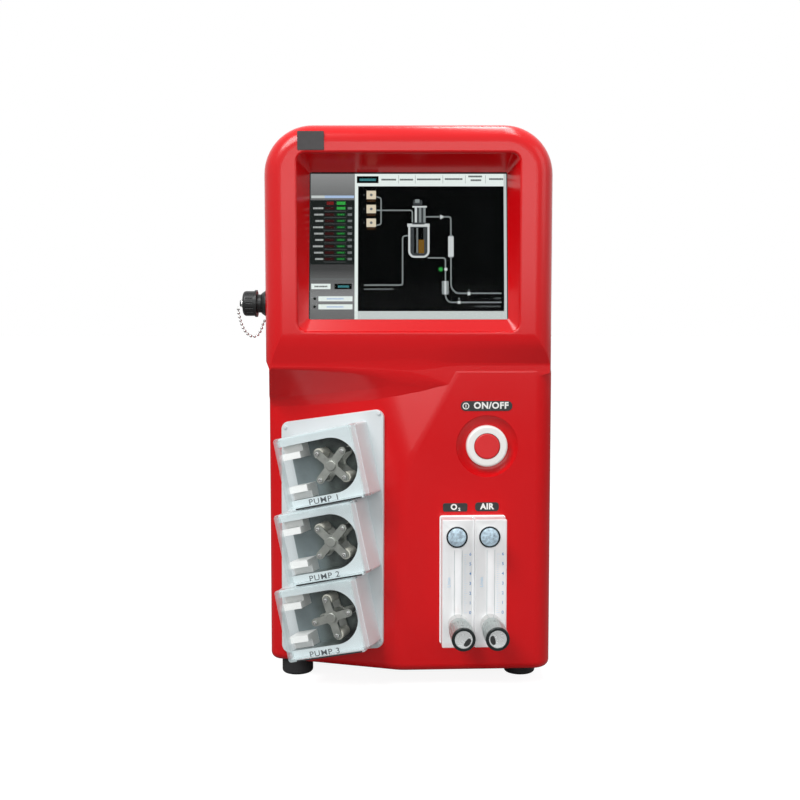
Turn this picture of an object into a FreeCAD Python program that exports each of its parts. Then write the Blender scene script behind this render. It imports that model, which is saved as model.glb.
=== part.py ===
import FreeCAD, Part
import math
import os

# Bench bioreactor control tower, in millimetres. +Z is up, the front faces -Y and +X is on the right of someone
# who faces the front. Everything is built about the cabinet's middle plane, with Y = 0 on the screen frame's
# front plane and Z = 0 on the floor. At the end all pieces are moved together so that the origin lies under the
# middle of the whole object's box.

os.makedirs("parts", exist_ok=True)
Vec = FreeCAD.Vector

# ---- Driving dimensions -----------------------------------------------------------------------------------

# Cabinet
CABINET_WIDTH = 307.0
LOWER_WIDTH = 310.4
CABINET_TOP = 604.0
CABINET_DEPTH = 400.0
UNDERSIDE = 17.0
TOP_RADIUS = 52.0
FRONT_ROUND = 20.0
SHELL_DEPTH = 95.0
SHELL_WALL = 3.5
SHEET = 2.0
SHEET_STEP = 0.5
BASE_SIDE_GAP = 0.3

# Front shell: frame, band under it, ridge, sloped shelf and the two lower facets
FRAME_LOWER_EDGE = 375.0
FACET_FOLD_X = -10.0
FACET_SETBACK = 2.5
LEFT_YAW = 17.6
LEFT_LEAN = 0.8
RIGHT_YAW = 3.0
FOLD_ROUND = 40.0
# The left facet bends back beside the pump panel's upper corner, along a line that leans to the left
BEND_GAP = 1.0
BEND_TILT = 16.0
BEND_ANGLE = 13.0
BEND_RADIUS = 80.0
LEFT_CORNER_ROUND = 13.0
BOTTOM_ROUND = 8.0
LOWER_FORM_TOP = 349.0
SHOULDER_ROUND = 7.0
BAND_BOTTOM = 351.0
FRAME_EDGE_REACH = 8.0
VALLEY_REACH = 10.0
APRON_FALL_BACK = 4.0
BAND_DEPTH = 4.5
# The ridge and the valley behind the shelf start level at the left side and curve down and up towards the fold
RIDGE_LEFT_Z = 346.3
RIDGE_FALL = 20.5
RIDGE_CURVE = 2.6
RIDGE_LENGTH = 204.0
VALLEY_LEFT_Z = 308.0
VALLEY_RISE = 16.5
VALLEY_CURVE = 1.4
SHELF_TUCK = 0.3
SHELF_STATION_COUNT = 19
# Relief down the left side under the frame, which runs out towards the back
WAIST_RELIEF = 5.4
WAIST_LENGTH = 44.0
WAIST_TOP_Z = 360.0
WAIST_FULL_Z = 346.0

# Screen and its recess
SCREEN_WIDTH = 211.2
SCREEN_HEIGHT = 158.4
SCREEN_TILT = 8.4
SCREEN_CENTRE_Z = 477.8
SCREEN_CENTRE_Y = 21.5
WINDOW_MARGIN = 0.8
WINDOW_RADIUS = 2.0
MOUTH_WIDTH = 234.0
MOUTH_HEIGHT = 186.0
MOUTH_CENTRE_Z = 479.4
MOUTH_RADIUS = 9.0
MOUTH_ROUND = 3.0
MOUTH_DEPTH = 3.3
GASKET_THICKNESS = 1.0
GASKET_WIDTH = 6.5
GLASS_THICKNESS = 3.0
MODULE_THICKNESS = 12.0
MODULE_MARGIN = 10.0

# Power button
BUTTON_X = 84.4
BUTTON_Z = 263.0
WELL_RADIUS = 33.5
WELL_DEPTH = 7.0
RING_RADIUS = 22.3
RING_PROUD = 1.5
BARREL_RADIUS = 15.0
BARREL_LENGTH = 30.0
CAP_RADIUS = 13.8
CAP_CLEARANCE = 0.4
CAP_SKIRT = 9.0
BUTTON_TRAVEL = 3.0
PLUNGER_RADIUS = 5.0
NUT_THICKNESS = 5.0
NUT_RADIUS = 20.0

# Pump panel
PANEL_THICKNESS = 4.0
PANEL_LEFT_X = -140.5
PANEL_RIGHT_X = -27.0
PANEL_TOP_LEFT_Z = 285.5
PANEL_TOP_RIGHT_Z = 303.5
PANEL_LOW_LEFT_Z = 26.5
PANEL_LOW_RIGHT_Z = 43.0
PANEL_CORNER = 9.0
PANEL_EDGE_ROUND = 1.0
PANEL_SCREW_INSET = 5.0
PANEL_SCREW_RADIUS = 2.3
PANEL_SCREW_HEAD = 1.6

# Pump heads
PUMP_COUNT = 3
PUMP_X = -78.0
PUMP_TOP_Z = 242.3
PUMP_PITCH = 81.3
PUMP_ROLL = 12.8
PUMP_WIDTH = 90.0
PUMP_HEIGHT = 78.0
PUMP_BODY_DEPTH = 38.0
PUMP_FLOOR = 10.0
PUMP_CORNER = 3.0
TRACK_X = 10.0
TRACK_RADIUS = 29.5
SHAFT_RADIUS = 3.0
SHAFT_FIT = 0.05
SHAFT_REACH = 22.0
PANEL_SHAFT_HOLE = 6.0
MOTOR_RADIUS = 18.5
MOTOR_LENGTH = 46.0
MOTOR_CAN_RADIUS = 16.5
MOTOR_CAN_LENGTH = 44.0
MOTOR_CLEARANCE = 1.5
ROTOR_ANGLES = (130.0, 127.0, 97.0)
ROLLER_CIRCLE = 19.5
ROLLER_RADIUS = 5.5
ROLLER_LENGTH = 20.0
ROLLER_END_GAP = 0.5
ROLLER_PIN_RADIUS = 1.6
ROTOR_PLATE = 2.5
ROTOR_LIFT = 3.0
ROTOR_HUB_RADIUS = 8.0
ROTOR_LOBE_RADIUS = 4.2
GUIDE_CIRCLE = 20.0
GUIDE_RADIUS = 2.6
ROTOR_CAP_RADIUS = 5.5
ROTOR_CAP_HEIGHT = 2.5
CLAMP_LENGTH = 22.0
CLAMP_INNER_Y = 14.5
TUBE_CHANNEL = 8.0
TUBE_CHANNEL_DEPTH = 11.0
CLAMP_SIDE_GAP = 0.2
COVER_GAP = 0.3
COVER_DEPTH = 12.0
COVER_WALL = 2.5
COVER_ROUND = 1.6
HINGE_PIN_RADIUS = 1.5
HINGE_PIN_LENGTH = 10.0
HINGE_RADIUS = 4.0
HINGE_INSET = 2.5
HINGE_DROP = 4.0
EAR_GAP = 0.3
PIN_FIT = 0.02

# Rotameters
METER_X = (51.6, 86.3)
METER_Z = 118.4
METER_WIDTH = 34.2
METER_HEIGHT = 138.0
METER_DEPTH = 22.0
METER_EDGE_ROUND = 1.5
SCALE_PLATE = 1.5
SCALE_PLATE_MARGIN = 1.0
TUBE_LOW_Y = -35.0
TUBE_HIGH_Y = 35.5
TUBE_LOW_RADIUS = 3.8
TUBE_HIGH_RADIUS = 4.6
PASSAGE_RADIUS = 2.2
FLOAT_RADIUS = 3.2
FLOAT_SEAT_GAP = 0.3
VALVE_Y = -43.4
VALVE_RADIUS = 8.0
VALVE_DEPTH = 14.0
VALVE_PLUG = 9.5
COLLAR_RADIUS = 11.0
COLLAR_LENGTH = 15.6
STEM_RADIUS = 3.0
STEM_LENGTH = 30.0
KNOB_RADIUS = 12.2
KNOB_FOOT_RADIUS = 11.2
KNOB_LENGTH = 44.0
KNOB_GAP = 0.4
KNOB_FLUTE_COUNT = 20
KNOB_FLUTE_RADIUS = 0.9
KNOB_RIM = 2.8
KNOB_DISH = 1.0
OUTLET_Y = 48.5
OUTLET_RADIUS = 11.5
OUTLET_DEPTH = 12.5
TAIL_RADIUS = 5.0
TAIL_HOLE_GAP = 0.5
TAIL_LENGTH = 24.0
FIT_GAP = 0.1

# Side connector with its cap and ball chain
CONNECTOR_Y = 48.0
CONNECTOR_Z = 416.4
BARREL_OUTER = 10.0
BARREL_BORE = 7.6
BARREL_REACH = 22.5
SOCKET_DEPTH = 11.0
INNER_FLANGE_RADIUS = 14.0
INNER_FLANGE = 3.0
REAR_BARREL = 14.0
CONTACT_RADIUS = 0.9
CONTACT_CIRCLE = 4.6
CONTACT_COUNT = 6
WASHER_RADIUS = 14.6
WASHER_THICKNESS = 1.8
WASHER_TAB_REACH = 21.0
WASHER_TAB_WIDTH = 6.0
CONNECTOR_NUT = 6.0
NUT_FOOT_RADIUS = 14.3
NUT_RIM_RADIUS = 11.6
CAP_OUTER = 13.6
CAP_START = 12.5
CAP_LIP = 2.2
CAP_LIP_RADIUS = 14.8
CAP_BODY = 13.2
CAP_BORE_GAP = 0.35
CAP_ROUND = 3.5
CAP_GROOVE_COUNT = 16
CAP_GROOVE_RADIUS = 1.0
POST_RADIUS = 2.4
POST_LENGTH = 3.6
POST_HEAD = 1.0
POST_HEAD_RADIUS = 3.4
RING_WIRE = 1.3
RING_OUTER = 4.8
RING_GAP = 0.1
BEAD_RADIUS = 1.6
BEAD_PITCH = 4.1
BEAD_LINK_RADIUS = 0.55
# Chain route beside the connector: distance out from the side wall, height over the connector's axis
CHAIN_ROUTE = (
    (33.7, -6.2),
    (33.4, -10.5),
    (30.5, -22.0),
    (26.3, -30.5),
    (21.5, -35.0),
    (16.5, -36.2),
    (12.0, -33.8),
    (8.8, -28.5),
    (6.6, -22.0),
    (4.9, -19.2),
)

# Feet
FOOT_RADIUS = 17.4
FOOT_ROUND = 3.5
FOOT_INSET = 27.5
FRONT_FOOT_Y = 62.0
REAR_FOOT_INSET = 38.0

# Rear and inside
SCREW_RADIUS = 3.4
SCREW_HEAD = 2.2
REAR_SCREW_INSET = 15.5
REAR_SCREW_Z = (40.0, 300.0, 560.0)
VENT_COUNT = 9
VENT_PITCH = 11.0
VENT_LENGTH = 110.0
VENT_WIDTH = 3.6
VENT_Z = 470.0
INLET_INSET = 63.5
INLET_Z = 70.0
INLET_WIDTH = 50.0
INLET_HEIGHT = 28.0
INLET_FLANGE = 3.0
INLET_BODY_WIDTH = 30.0
INLET_BODY_HEIGHT = 22.0
INLET_BODY_DEPTH = 26.0
INLET_SOCKET_WIDTH = 25.0
INLET_SOCKET_HEIGHT = 17.0
INLET_SOCKET_DEPTH = 17.0
GAS_INSETS = (43.5, 73.5)
GAS_Z = 75.0
GAS_HEX_RADIUS = 9.0
GAS_HEX_LENGTH = 8.0
GAS_BARB_RADIUS = 4.0
GAS_BARB_LENGTH = 18.0
GAS_REACH_IN = 16.0
GAS_STEM_RADIUS = 6.0
BOARD_WIDTH = 170.0
BOARD_HEIGHT = 130.0
BOARD_Z = 330.0
BOARD_THICKNESS = 1.6
STANDOFF_LENGTH = 10.0
STANDOFF_RADIUS = 3.5
STANDOFF_INSET = 8.0
CHIP_HEIGHT = 9.0
SUPPLY_LENGTH = 160.0
SUPPLY_WIDTH = 98.0
SUPPLY_HEIGHT = 45.0
SUPPLY_Y = 250.0

# ---- Worked-out values ------------------------------------------------------------------------------------

HALF_WIDTH = CABINET_WIDTH / 2
FOOT_X = HALF_WIDTH - FOOT_INSET
REAR_FOOT_Y = CABINET_DEPTH - REAR_FOOT_INSET
REAR_SCREW_X = HALF_WIDTH - REAR_SCREW_INSET
INLET_X = HALF_WIDTH - INLET_INSET
GAS_X = [inset - HALF_WIDTH for inset in GAS_INSETS]
UPPER_FORM_BASE = LOWER_FORM_TOP - SHELL_DEPTH
LEFT_SLOPE = math.tan(math.radians(LEFT_YAW))
LEFT_LEAN_SLOPE = math.tan(math.radians(LEFT_LEAN)) / math.cos(math.radians(LEFT_YAW))
RIGHT_SLOPE = math.tan(math.radians(RIGHT_YAW))
PUMP_FRONT = PANEL_THICKNESS + PUMP_BODY_DEPTH
COVER_BACK = PUMP_FRONT + COVER_GAP
COVER_FRONT = COVER_BACK + COVER_DEPTH
CAVITY_FLOOR = PANEL_THICKNESS + PUMP_FLOOR
HINGE_X = PUMP_WIDTH / 2 - HINGE_INSET
HINGE_Z = PUMP_FRONT - HINGE_DROP
METER_BACK = SCALE_PLATE
METER_FRONT = METER_BACK + METER_DEPTH
TUBE_DEPTH = METER_BACK + METER_DEPTH / 2
FLOAT_REST_Y = TUBE_LOW_Y + FLOAT_RADIUS + FLOAT_SEAT_GAP
KNOB_START = METER_FRONT + COLLAR_LENGTH + KNOB_GAP
NUT_FACE = WASHER_THICKNESS + CONNECTOR_NUT
CAP_END = CAP_START + CAP_LIP + CAP_BODY

# ---- Frames: local X to the right along a face, local Y up along it, local Z straight out of it -------------


def face_frame(point, yaw_left=0.0, lean_back=0.0, roll=0.0):
    """Frame on a face turned to the left by yaw_left and leaned back, its axes rolled about its normal."""
    turn = FreeCAD.Rotation(Vec(0, 0, 1), -yaw_left)
    tip = FreeCAD.Rotation(Vec(1, 0, 0), 90.0 - lean_back)
    spin = FreeCAD.Rotation(Vec(0, 0, 1), roll)
    return FreeCAD.Placement(point, turn.multiply(tip).multiply(spin))


def left_facet_y(x, z):
    return FACET_SETBACK - LEFT_SLOPE * (x - FACET_FOLD_X) + LEFT_LEAN_SLOPE * (z - UNDERSIDE)


def right_facet_y(x):
    return FACET_SETBACK + RIGHT_SLOPE * (x - FACET_FOLD_X)


def left_facet_frame(x, z, roll=0.0):
    return face_frame(Vec(x, left_facet_y(x, z), z), LEFT_YAW, LEFT_LEAN, roll)


def right_facet_frame(x, z):
    return face_frame(Vec(x, right_facet_y(x), z), -RIGHT_YAW)


def bend_frame():
    """Frame on the left facet, its local Y along the line where the facet starts to bend back."""
    return left_facet_frame(PANEL_RIGHT_X + BEND_GAP, PANEL_TOP_RIGHT_Z, BEND_TILT)


def bent_facet_y(x, z):
    """Depth of the left facet with its bend."""
    flat_y = left_facet_y(x, z)
    along = bend_frame().inverse().multVec(Vec(x, flat_y, z)).x
    angle = math.radians(BEND_ANGLE)
    arc_end = BEND_RADIUS * math.sin(angle)
    on_arc = min(max(along, 0.0), arc_end)
    fall = BEND_RADIUS - math.sqrt(BEND_RADIUS**2 - on_arc**2) + math.tan(angle) * max(along - arc_end, 0.0)
    return flat_y - fall / bend_frame().Rotation.multVec(Vec(0, 0, 1)).y


def pump_frame(number):
    z = PUMP_TOP_Z - PUMP_PITCH * number
    return left_facet_frame(PUMP_X, z, PUMP_ROLL)


def meter_frame(number):
    return right_facet_frame(METER_X[number], METER_Z)


SCREEN_FRAME = face_frame(Vec(0, SCREEN_CENTRE_Y, SCREEN_CENTRE_Z), 0.0, SCREEN_TILT)
BUTTON_FRAME = right_facet_frame(BUTTON_X, BUTTON_Z)
FRONT_FRAME = face_frame(Vec(0, 0, 0))
REAR_FRAME = face_frame(Vec(0, CABINET_DEPTH, 0), 180.0)
SIDE_FRAME = face_frame(Vec(-HALF_WIDTH, CONNECTOR_Y, CONNECTOR_Z), 90.0)

# ---- Building blocks --------------------------------------------------------------------------------------


def placed(shape, frame):
    moved = shape.copy()
    moved.Placement = frame.multiply(moved.Placement)
    return moved


def fused(shapes):
    return shapes[0].multiFuse(shapes[1:]).removeSplitter()


def rounded_outline(points, radii):
    """Closed wire in the XY plane, with each corner rounded by its own radius."""
    corners = [Vec(x, y, 0) for x, y in points]
    count = len(corners)
    starts, ends, arcs = [], [], []
    for i, corner in enumerate(corners):
        before = (corners[i - 1] - corner).normalize()
        after = (corners[(i + 1) % count] - corner).normalize()
        half = before.getAngle(after) / 2
        reach = radii[i] / math.tan(half)
        starts.append(corner + before * reach)
        ends.append(corner + after * reach)
        if radii[i] > 0:
            inward = (before + after).normalize()
            middle = corner + inward * (radii[i] / math.sin(half) - radii[i])
            arcs.append(Part.Arc(starts[i], middle, ends[i]).toShape())
        else:
            arcs.append(None)
    edges = []
    for i in range(count):
        if arcs[i] is not None:
            edges.append(arcs[i])
        following = starts[(i + 1) % count]
        if ends[i].distanceToPoint(following) > 1e-6:
            edges.append(Part.makeLine(ends[i], following))
    return Part.Wire(edges)


def eased_outline(points, reaches):
    """Closed wire like rounded_outline, with each corner given by how far along its sides the rounding reaches."""
    corners = [Vec(x, y, 0) for x, y in points]
    radii = []
    for i, corner in enumerate(corners):
        turn = (corners[i - 1] - corner).getAngle(corners[(i + 1) % len(corners)] - corner)
        radii.append(reaches[i] * math.tan(turn / 2))
    return rounded_outline(points, radii)


def rounded_polygon(points, radii):
    return Part.Face(rounded_outline(points, radii))


def box_points(width, height, x=0.0, y=0.0):
    half_w, half_h = width / 2, height / 2
    return ((x - half_w, y - half_h), (x + half_w, y - half_h), (x + half_w, y + half_h), (x - half_w, y + half_h))


def prism(face, low, high):
    solid = face.extrude(Vec(0, 0, high - low))
    solid.translate(Vec(0, 0, low))
    return solid


def plate(width, height, radius, low, high, x=0.0, y=0.0):
    return prism(rounded_polygon(box_points(width, height, x, y), (radius,) * 4), low, high)


def block(x0, x1, y0, y1, z0, z1):
    return Part.makeBox(x1 - x0, y1 - y0, z1 - z0, Vec(x0, y0, z0))


def rod(radius, low, high, x=0.0, y=0.0):
    return Part.makeCylinder(radius, high - low, Vec(x, y, low))


def rod_y(radius, low, high, x, z):
    return Part.makeCylinder(radius, high - low, Vec(x, low, z), Vec(0, 1, 0))


def revolved(points):
    """Solid turned about the local Z axis from (radius, height) points."""
    outline = Part.makePolygon([Vec(r, 0, h) for r, h in points] + [Vec(points[0][0], 0, points[0][1])])
    return Part.Face(outline).revolve(Vec(0, 0, 0), Vec(0, 0, 1), 360)


def round_where(solid, radius, chosen):
    """Rounds the edges whose bounding boxes the test accepts."""
    return solid.makeFillet(radius, [e for e in solid.Edges if chosen(e.BoundBox)])


def around(count, start=0.0):
    return [math.radians(start + 360.0 * i / count) for i in range(count)]


# ---- Front shell ------------------------------------------------------------------------------------------


def upper_form(inset):
    """Upper block with rounded top corners and a rounded front edge."""
    half, top = HALF_WIDTH - inset, CABINET_TOP - inset
    points = ((-half, UPPER_FORM_BASE), (half, LOWER_FORM_TOP - SHOULDER_ROUND), (half, top), (-half, top))
    corner = TOP_RADIUS - inset
    face = rounded_polygon(points, (0, 0, corner, corner))
    back = SHELL_DEPTH + (inset > 0)
    solid = placed(prism(face, -back, -inset), FRONT_FRAME)
    return round_where(
        solid,
        FRONT_ROUND - inset,
        lambda b: b.YMax < inset + 0.01 and b.ZMax > LOWER_FORM_TOP,
    )


def shelf_sizes(x):
    """Depth of the band's foot, height of the ridge, then depth and height of the valley behind the sloped shelf."""
    along = min(max((x + HALF_WIDTH) / RIDGE_LENGTH, 0.0), 1.0)
    ridge_z = RIDGE_LEFT_Z - RIDGE_FALL * along ** RIDGE_CURVE
    valley_z = VALLEY_LEFT_Z + VALLEY_RISE * along ** VALLEY_CURVE
    foot_depth = max(BAND_DEPTH, right_facet_y(x) + SHELF_TUCK)
    valley_depth = max(bent_facet_y(x, valley_z) + SHELF_TUCK, foot_depth + 10 * SHELF_TUCK)
    return foot_depth, ridge_z, valley_depth, valley_z


def underside_cutter(inset):
    """Space below the frame: the band, the ridge, the sloped shelf and its valley, swept across the width."""
    low = UPPER_FORM_BASE - 50.0
    ahead = -30.0
    top = FRAME_LOWER_EDGE + FRAME_EDGE_REACH + inset
    reach = HALF_WIDTH + SHELF_TUCK * 20
    wires = []
    for station in range(SHELF_STATION_COUNT):
        x = reach * (2 * station / (SHELF_STATION_COUNT - 1) - 1)
        foot_depth, ridge_z, valley_depth, valley_z = shelf_sizes(x)
        foot = (foot_depth + inset, BAND_BOTTOM + 0.3 * inset)
        ridge = (foot_depth + inset, ridge_z + 0.6 * inset)
        valley = (valley_depth + inset, valley_z + 0.6 * inset)
        points = (
            (ahead, top), (inset, top), (inset, FRAME_LOWER_EDGE), foot, ridge, valley,
            (valley[0] + APRON_FALL_BACK, low), (ahead, low),
        )
        shelf = math.hypot(valley[0] - ridge[0], valley[1] - ridge[1])
        ease = 0.45 * min(foot[1] - ridge[1], shelf)
        reaches = (0, 0, FRAME_EDGE_REACH, ease, ease, min(VALLEY_REACH, 0.5 * shelf), 0, 0)
        turn = FreeCAD.Rotation(Vec(1, 1, 1), 120)
        wires.append(placed(eased_outline(points, reaches), FreeCAD.Placement(Vec(x, 0, 0), turn)))
    return Part.makeLoft(wires, True, False)


def waist_cutter(inset):
    """Space beside the upper form's left side, below the frame."""
    half = HALF_WIDTH - inset
    low = UPPER_FORM_BASE - WAIST_LENGTH
    wires = []
    for share in (-0.5, 1.5):
        x = WAIST_RELIEF * (1 - share) - half
        points = (
            (x, low), (x, WAIST_FULL_Z), (x - WAIST_RELIEF, WAIST_TOP_Z),
            (-2 * half, WAIST_TOP_Z), (-2 * half, low),
        )
        corners = [Vec(px, share * WAIST_LENGTH, pz) for px, pz in points]
        wires.append(Part.makePolygon(corners + corners[:1]))
    return Part.makeLoft(wires, True, True)


def left_facet_cutter(inset, reach):
    """Space ahead of the left facet, which bends back towards the fold above the pump panel's corner."""
    radius, angle = BEND_RADIUS - inset, math.radians(BEND_ANGLE)

    def on_bend(turn):
        return Vec(radius * math.sin(turn), -reach, radius * math.cos(turn) - BEND_RADIUS)

    start, end = on_bend(0.0), on_bend(angle)
    bend = Part.Arc(start, on_bend(angle / 2), end).toShape()
    far = end + Vec(2 * reach * math.cos(angle), 0, -2 * reach * math.sin(angle))
    flat = Part.makePolygon([far, Vec(far.x, -reach, reach), Vec(-reach, -reach, reach), Vec(-reach, -reach, -inset), start])
    outline = Part.Wire([bend, Part.makeLine(end, far)] + flat.Edges)
    return placed(Part.Face(outline).extrude(Vec(0, 2 * reach, 0)), bend_frame())


def lower_form(inset):
    """Lower block: a right facet and a leaning left facet that meet in a soft fold."""
    half = LOWER_WIDTH / 2 - inset
    floor = UNDERSIDE + inset
    back = SHELL_DEPTH + (inset > 0)
    reach = 2 * CABINET_TOP
    solid = block(-half, half, -reach, back, floor, LOWER_FORM_TOP)
    right_facet = right_facet_frame(FACET_FOLD_X, UNDERSIDE)
    solid = solid.cut(placed(block(-reach, reach, -reach, reach, -inset, reach), right_facet))
    solid = solid.cut(left_facet_cutter(inset, reach))

    def upright(b, x_low, x_high):
        tall = b.ZLength > LOWER_FORM_TOP / 2
        return tall and b.YMax < back - 1 and b.XMin > x_low and b.XMax < x_high

    solid = round_where(solid, FRONT_ROUND - inset, lambda b: upright(b, half - 1, half + 1))
    solid = round_where(solid, LEFT_CORNER_ROUND - inset, lambda b: upright(b, -half - 1, 1 - half))
    solid = round_where(solid, FOLD_ROUND - inset, lambda b: upright(b, FACET_FOLD_X - 1, FACET_FOLD_X + 2 * FOLD_ROUND))
    solid = round_where(solid, BOTTOM_ROUND - inset, lambda b: b.ZMax < floor + 0.01 and b.YMin < back - 1)
    return round_where(
        solid, SHOULDER_ROUND - inset, lambda b: b.ZMin > LOWER_FORM_TOP - 0.01 and b.XLength < 0.01
    )


def front_form(inset):
    upper = upper_form(inset).cut(underside_cutter(inset)).cut(waist_cutter(inset))
    return fused([upper, lower_form(inset)])


def recess(outset):
    """Screen recess: a short straight mouth in the frame, then a flare back to the tilted window."""
    width, height = MOUTH_WIDTH + 2 * outset, MOUTH_HEIGHT + 2 * outset
    mouth = placed(plate(width, height, MOUTH_RADIUS, -MOUTH_DEPTH, 1, 0, MOUTH_CENTRE_Z), FRONT_FRAME)
    start = rounded_outline(box_points(width, height, 0, MOUTH_CENTRE_Z), (MOUTH_RADIUS,) * 4)
    start.translate(Vec(0, 0, -MOUTH_DEPTH))
    margin = 2 * (WINDOW_MARGIN + outset)
    end = rounded_outline(box_points(SCREEN_WIDTH + margin, SCREEN_HEIGHT + margin), (WINDOW_RADIUS,) * 4)
    walls = []
    for outer, inner in zip(placed(start, FRONT_FRAME).Edges, placed(end, SCREEN_FRAME).Edges):
        walls.append(Part.makeRuledSurface(outer, inner))
    caps = [Part.Face(placed(start, FRONT_FRAME)), Part.Face(placed(end, SCREEN_FRAME))]
    shell = Part.makeShell(walls + caps)
    shell.sewShape()
    flare = Part.makeSolid(shell)
    if flare.Volume < 0:
        flare.reverse()
    return fused([mouth, flare])


def button_well(outset):
    """Dished well round the power button."""
    depth = WELL_DEPTH + outset
    floor_radius = RING_RADIUS + 0.6 + outset
    mouth_radius = WELL_RADIUS + outset
    rise = Part.Arc(
        Vec(floor_radius, 0, -depth),
        Vec(floor_radius + 0.64 * (mouth_radius - floor_radius), 0, -0.66 * depth),
        Vec(mouth_radius, 0, 0),
    ).toShape()
    rest = Part.makePolygon([Vec(mouth_radius, 0, 0), Vec(0, 0, 0), Vec(0, 0, -depth), Vec(floor_radius, 0, -depth)])
    face = Part.Face(Part.Wire([rise] + rest.Edges))
    return placed(face.revolve(Vec(0, 0, 0), Vec(0, 0, 1), 360), BUTTON_FRAME)


def shell_holes():
    reach = SHELL_DEPTH / 4
    holes = [placed(rod(BARREL_RADIUS + CAP_CLEARANCE, -reach, 0), BUTTON_FRAME)]
    holes.append(placed(rod(BARREL_OUTER + FIT_GAP, -reach, reach), SIDE_FRAME))
    for number in range(PUMP_COUNT):
        hole = rod(MOTOR_RADIUS + MOTOR_CLEARANCE, -reach, reach, TRACK_X, 0)
        holes.append(placed(hole, pump_frame(number)))
    for number in range(len(METER_X)):
        for y in (VALVE_Y, OUTLET_Y):
            holes.append(placed(rod(TAIL_RADIUS + TAIL_HOLE_GAP, -reach, reach, 0, y), meter_frame(number)))
    return holes


def front_shell():
    hollow = front_form(SHELL_WALL).cut(recess(SHELL_WALL)).cut(button_well(SHELL_WALL))
    shell = front_form(0.0).cut(hollow).cut(recess(0.0))
    reach_x, reach_z = MOUTH_WIDTH / 2 + 0.1, MOUTH_HEIGHT / 2 + 0.1

    def mouth_edge(b):
        in_plane = b.YMax < 0.01 and b.YMin > -0.01
        return in_plane and max(-b.XMin, b.XMax) < reach_x and abs(b.Center.z - MOUTH_CENTRE_Z) + b.ZLength / 2 < reach_z

    shell = round_where(shell, MOUTH_ROUND, mouth_edge)
    shell = shell.cut(button_well(0.0))
    for hole in shell_holes():
        shell = shell.cut(hole)
    return shell


# ---- Rest of the cabinet ----------------------------------------------------------------------------------


def cabinet_outline(inset, low):
    half, top = HALF_WIDTH - SHEET_STEP - inset, CABINET_TOP - SHEET_STEP - inset
    corner = TOP_RADIUS - SHEET_STEP - inset
    return rounded_polygon(((-half, low), (half, low), (half, top), (-half, top)), (0, 0, corner, corner))


def wrap_cover():
    back = CABINET_DEPTH - SHEET
    outer = prism(cabinet_outline(0.0, UNDERSIDE), -back, -SHELL_DEPTH)
    inner = prism(cabinet_outline(SHEET, UNDERSIDE - 10), -back - 1, 1 - SHELL_DEPTH)
    return placed(outer.cut(inner), FRONT_FRAME)


def base_plate():
    half = HALF_WIDTH - SHEET_STEP - SHEET - BASE_SIDE_GAP
    back = CABINET_DEPTH - SHEET
    tray = block(-half, half, SHELL_DEPTH, back, UNDERSIDE, UNDERSIDE + 18)
    hollow = block(SHEET - half, half - SHEET, SHELL_DEPTH - 1, back + 1, UNDERSIDE + SHEET, UNDERSIDE + 30)
    return tray.cut(hollow)


def board_corners():
    reach_x, reach_z = BOARD_WIDTH / 2 - STANDOFF_INSET, BOARD_HEIGHT / 2 - STANDOFF_INSET
    return [(x, BOARD_Z + z) for x in (-reach_x, reach_x) for z in (-reach_z, reach_z)]


def rear_panel():
    """Closes the back. Seen from behind, local X runs towards the cabinet's left side."""
    panel = prism(cabinet_outline(0.0, UNDERSIDE), -SHEET, 0)
    for i in range(VENT_COUNT):
        panel = panel.cut(plate(VENT_LENGTH, VENT_WIDTH, VENT_WIDTH / 2 - 0.01, -9, 9, 0, VENT_Z + VENT_PITCH * i))
    panel = panel.cut(plate(INLET_BODY_WIDTH + 0.6, INLET_BODY_HEIGHT + 0.6, 1, -9, 9, -INLET_X, INLET_Z))
    for x in GAS_X:
        panel = panel.cut(rod(GAS_STEM_RADIUS + FIT_GAP, -9, 9, -x, GAS_Z))
    standoffs = [rod(STANDOFF_RADIUS, -SHEET - STANDOFF_LENGTH, -SHEET, x, z) for x, z in board_corners()]
    return placed(fused([panel] + standoffs), REAR_FRAME)


def foot(x, y):
    pad = rod(FOOT_RADIUS, 0, UNDERSIDE, x, y)
    return round_where(pad, FOOT_ROUND, lambda b: b.ZMax < 0.01)


def screw_head(radius, height, low, x, y):
    head = rod(radius, low, low + height, x, y)
    return round_where(head, height / 2, lambda b: b.ZMin > low + height - 0.01)


def case_screws():
    heads = []
    for x in (-REAR_SCREW_X, REAR_SCREW_X):
        for z in REAR_SCREW_Z:
            heads.append(screw_head(SCREW_RADIUS, SCREW_HEAD, 0, x, z))
    return placed(Part.makeCompound(heads), REAR_FRAME)


def power_inlet():
    body = plate(INLET_WIDTH, INLET_HEIGHT, 4, 0, INLET_FLANGE)
    body = fused([body, plate(INLET_BODY_WIDTH, INLET_BODY_HEIGHT, 2, INLET_FLANGE - INLET_BODY_DEPTH, 0)])
    low = INLET_FLANGE - INLET_SOCKET_DEPTH
    body = body.cut(plate(INLET_SOCKET_WIDTH, INLET_SOCKET_HEIGHT, 3, low, INLET_FLANGE))
    pins = [plate(2.0, 4.0, 0.5, low, INLET_FLANGE - 4, x, y) for x, y in ((-7, -1.5), (0, 3), (7, -1.5))]
    return placed(placed(fused([body] + pins), FreeCAD.Placement(Vec(-INLET_X, INLET_Z, 0), FreeCAD.Rotation())), REAR_FRAME)


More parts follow.
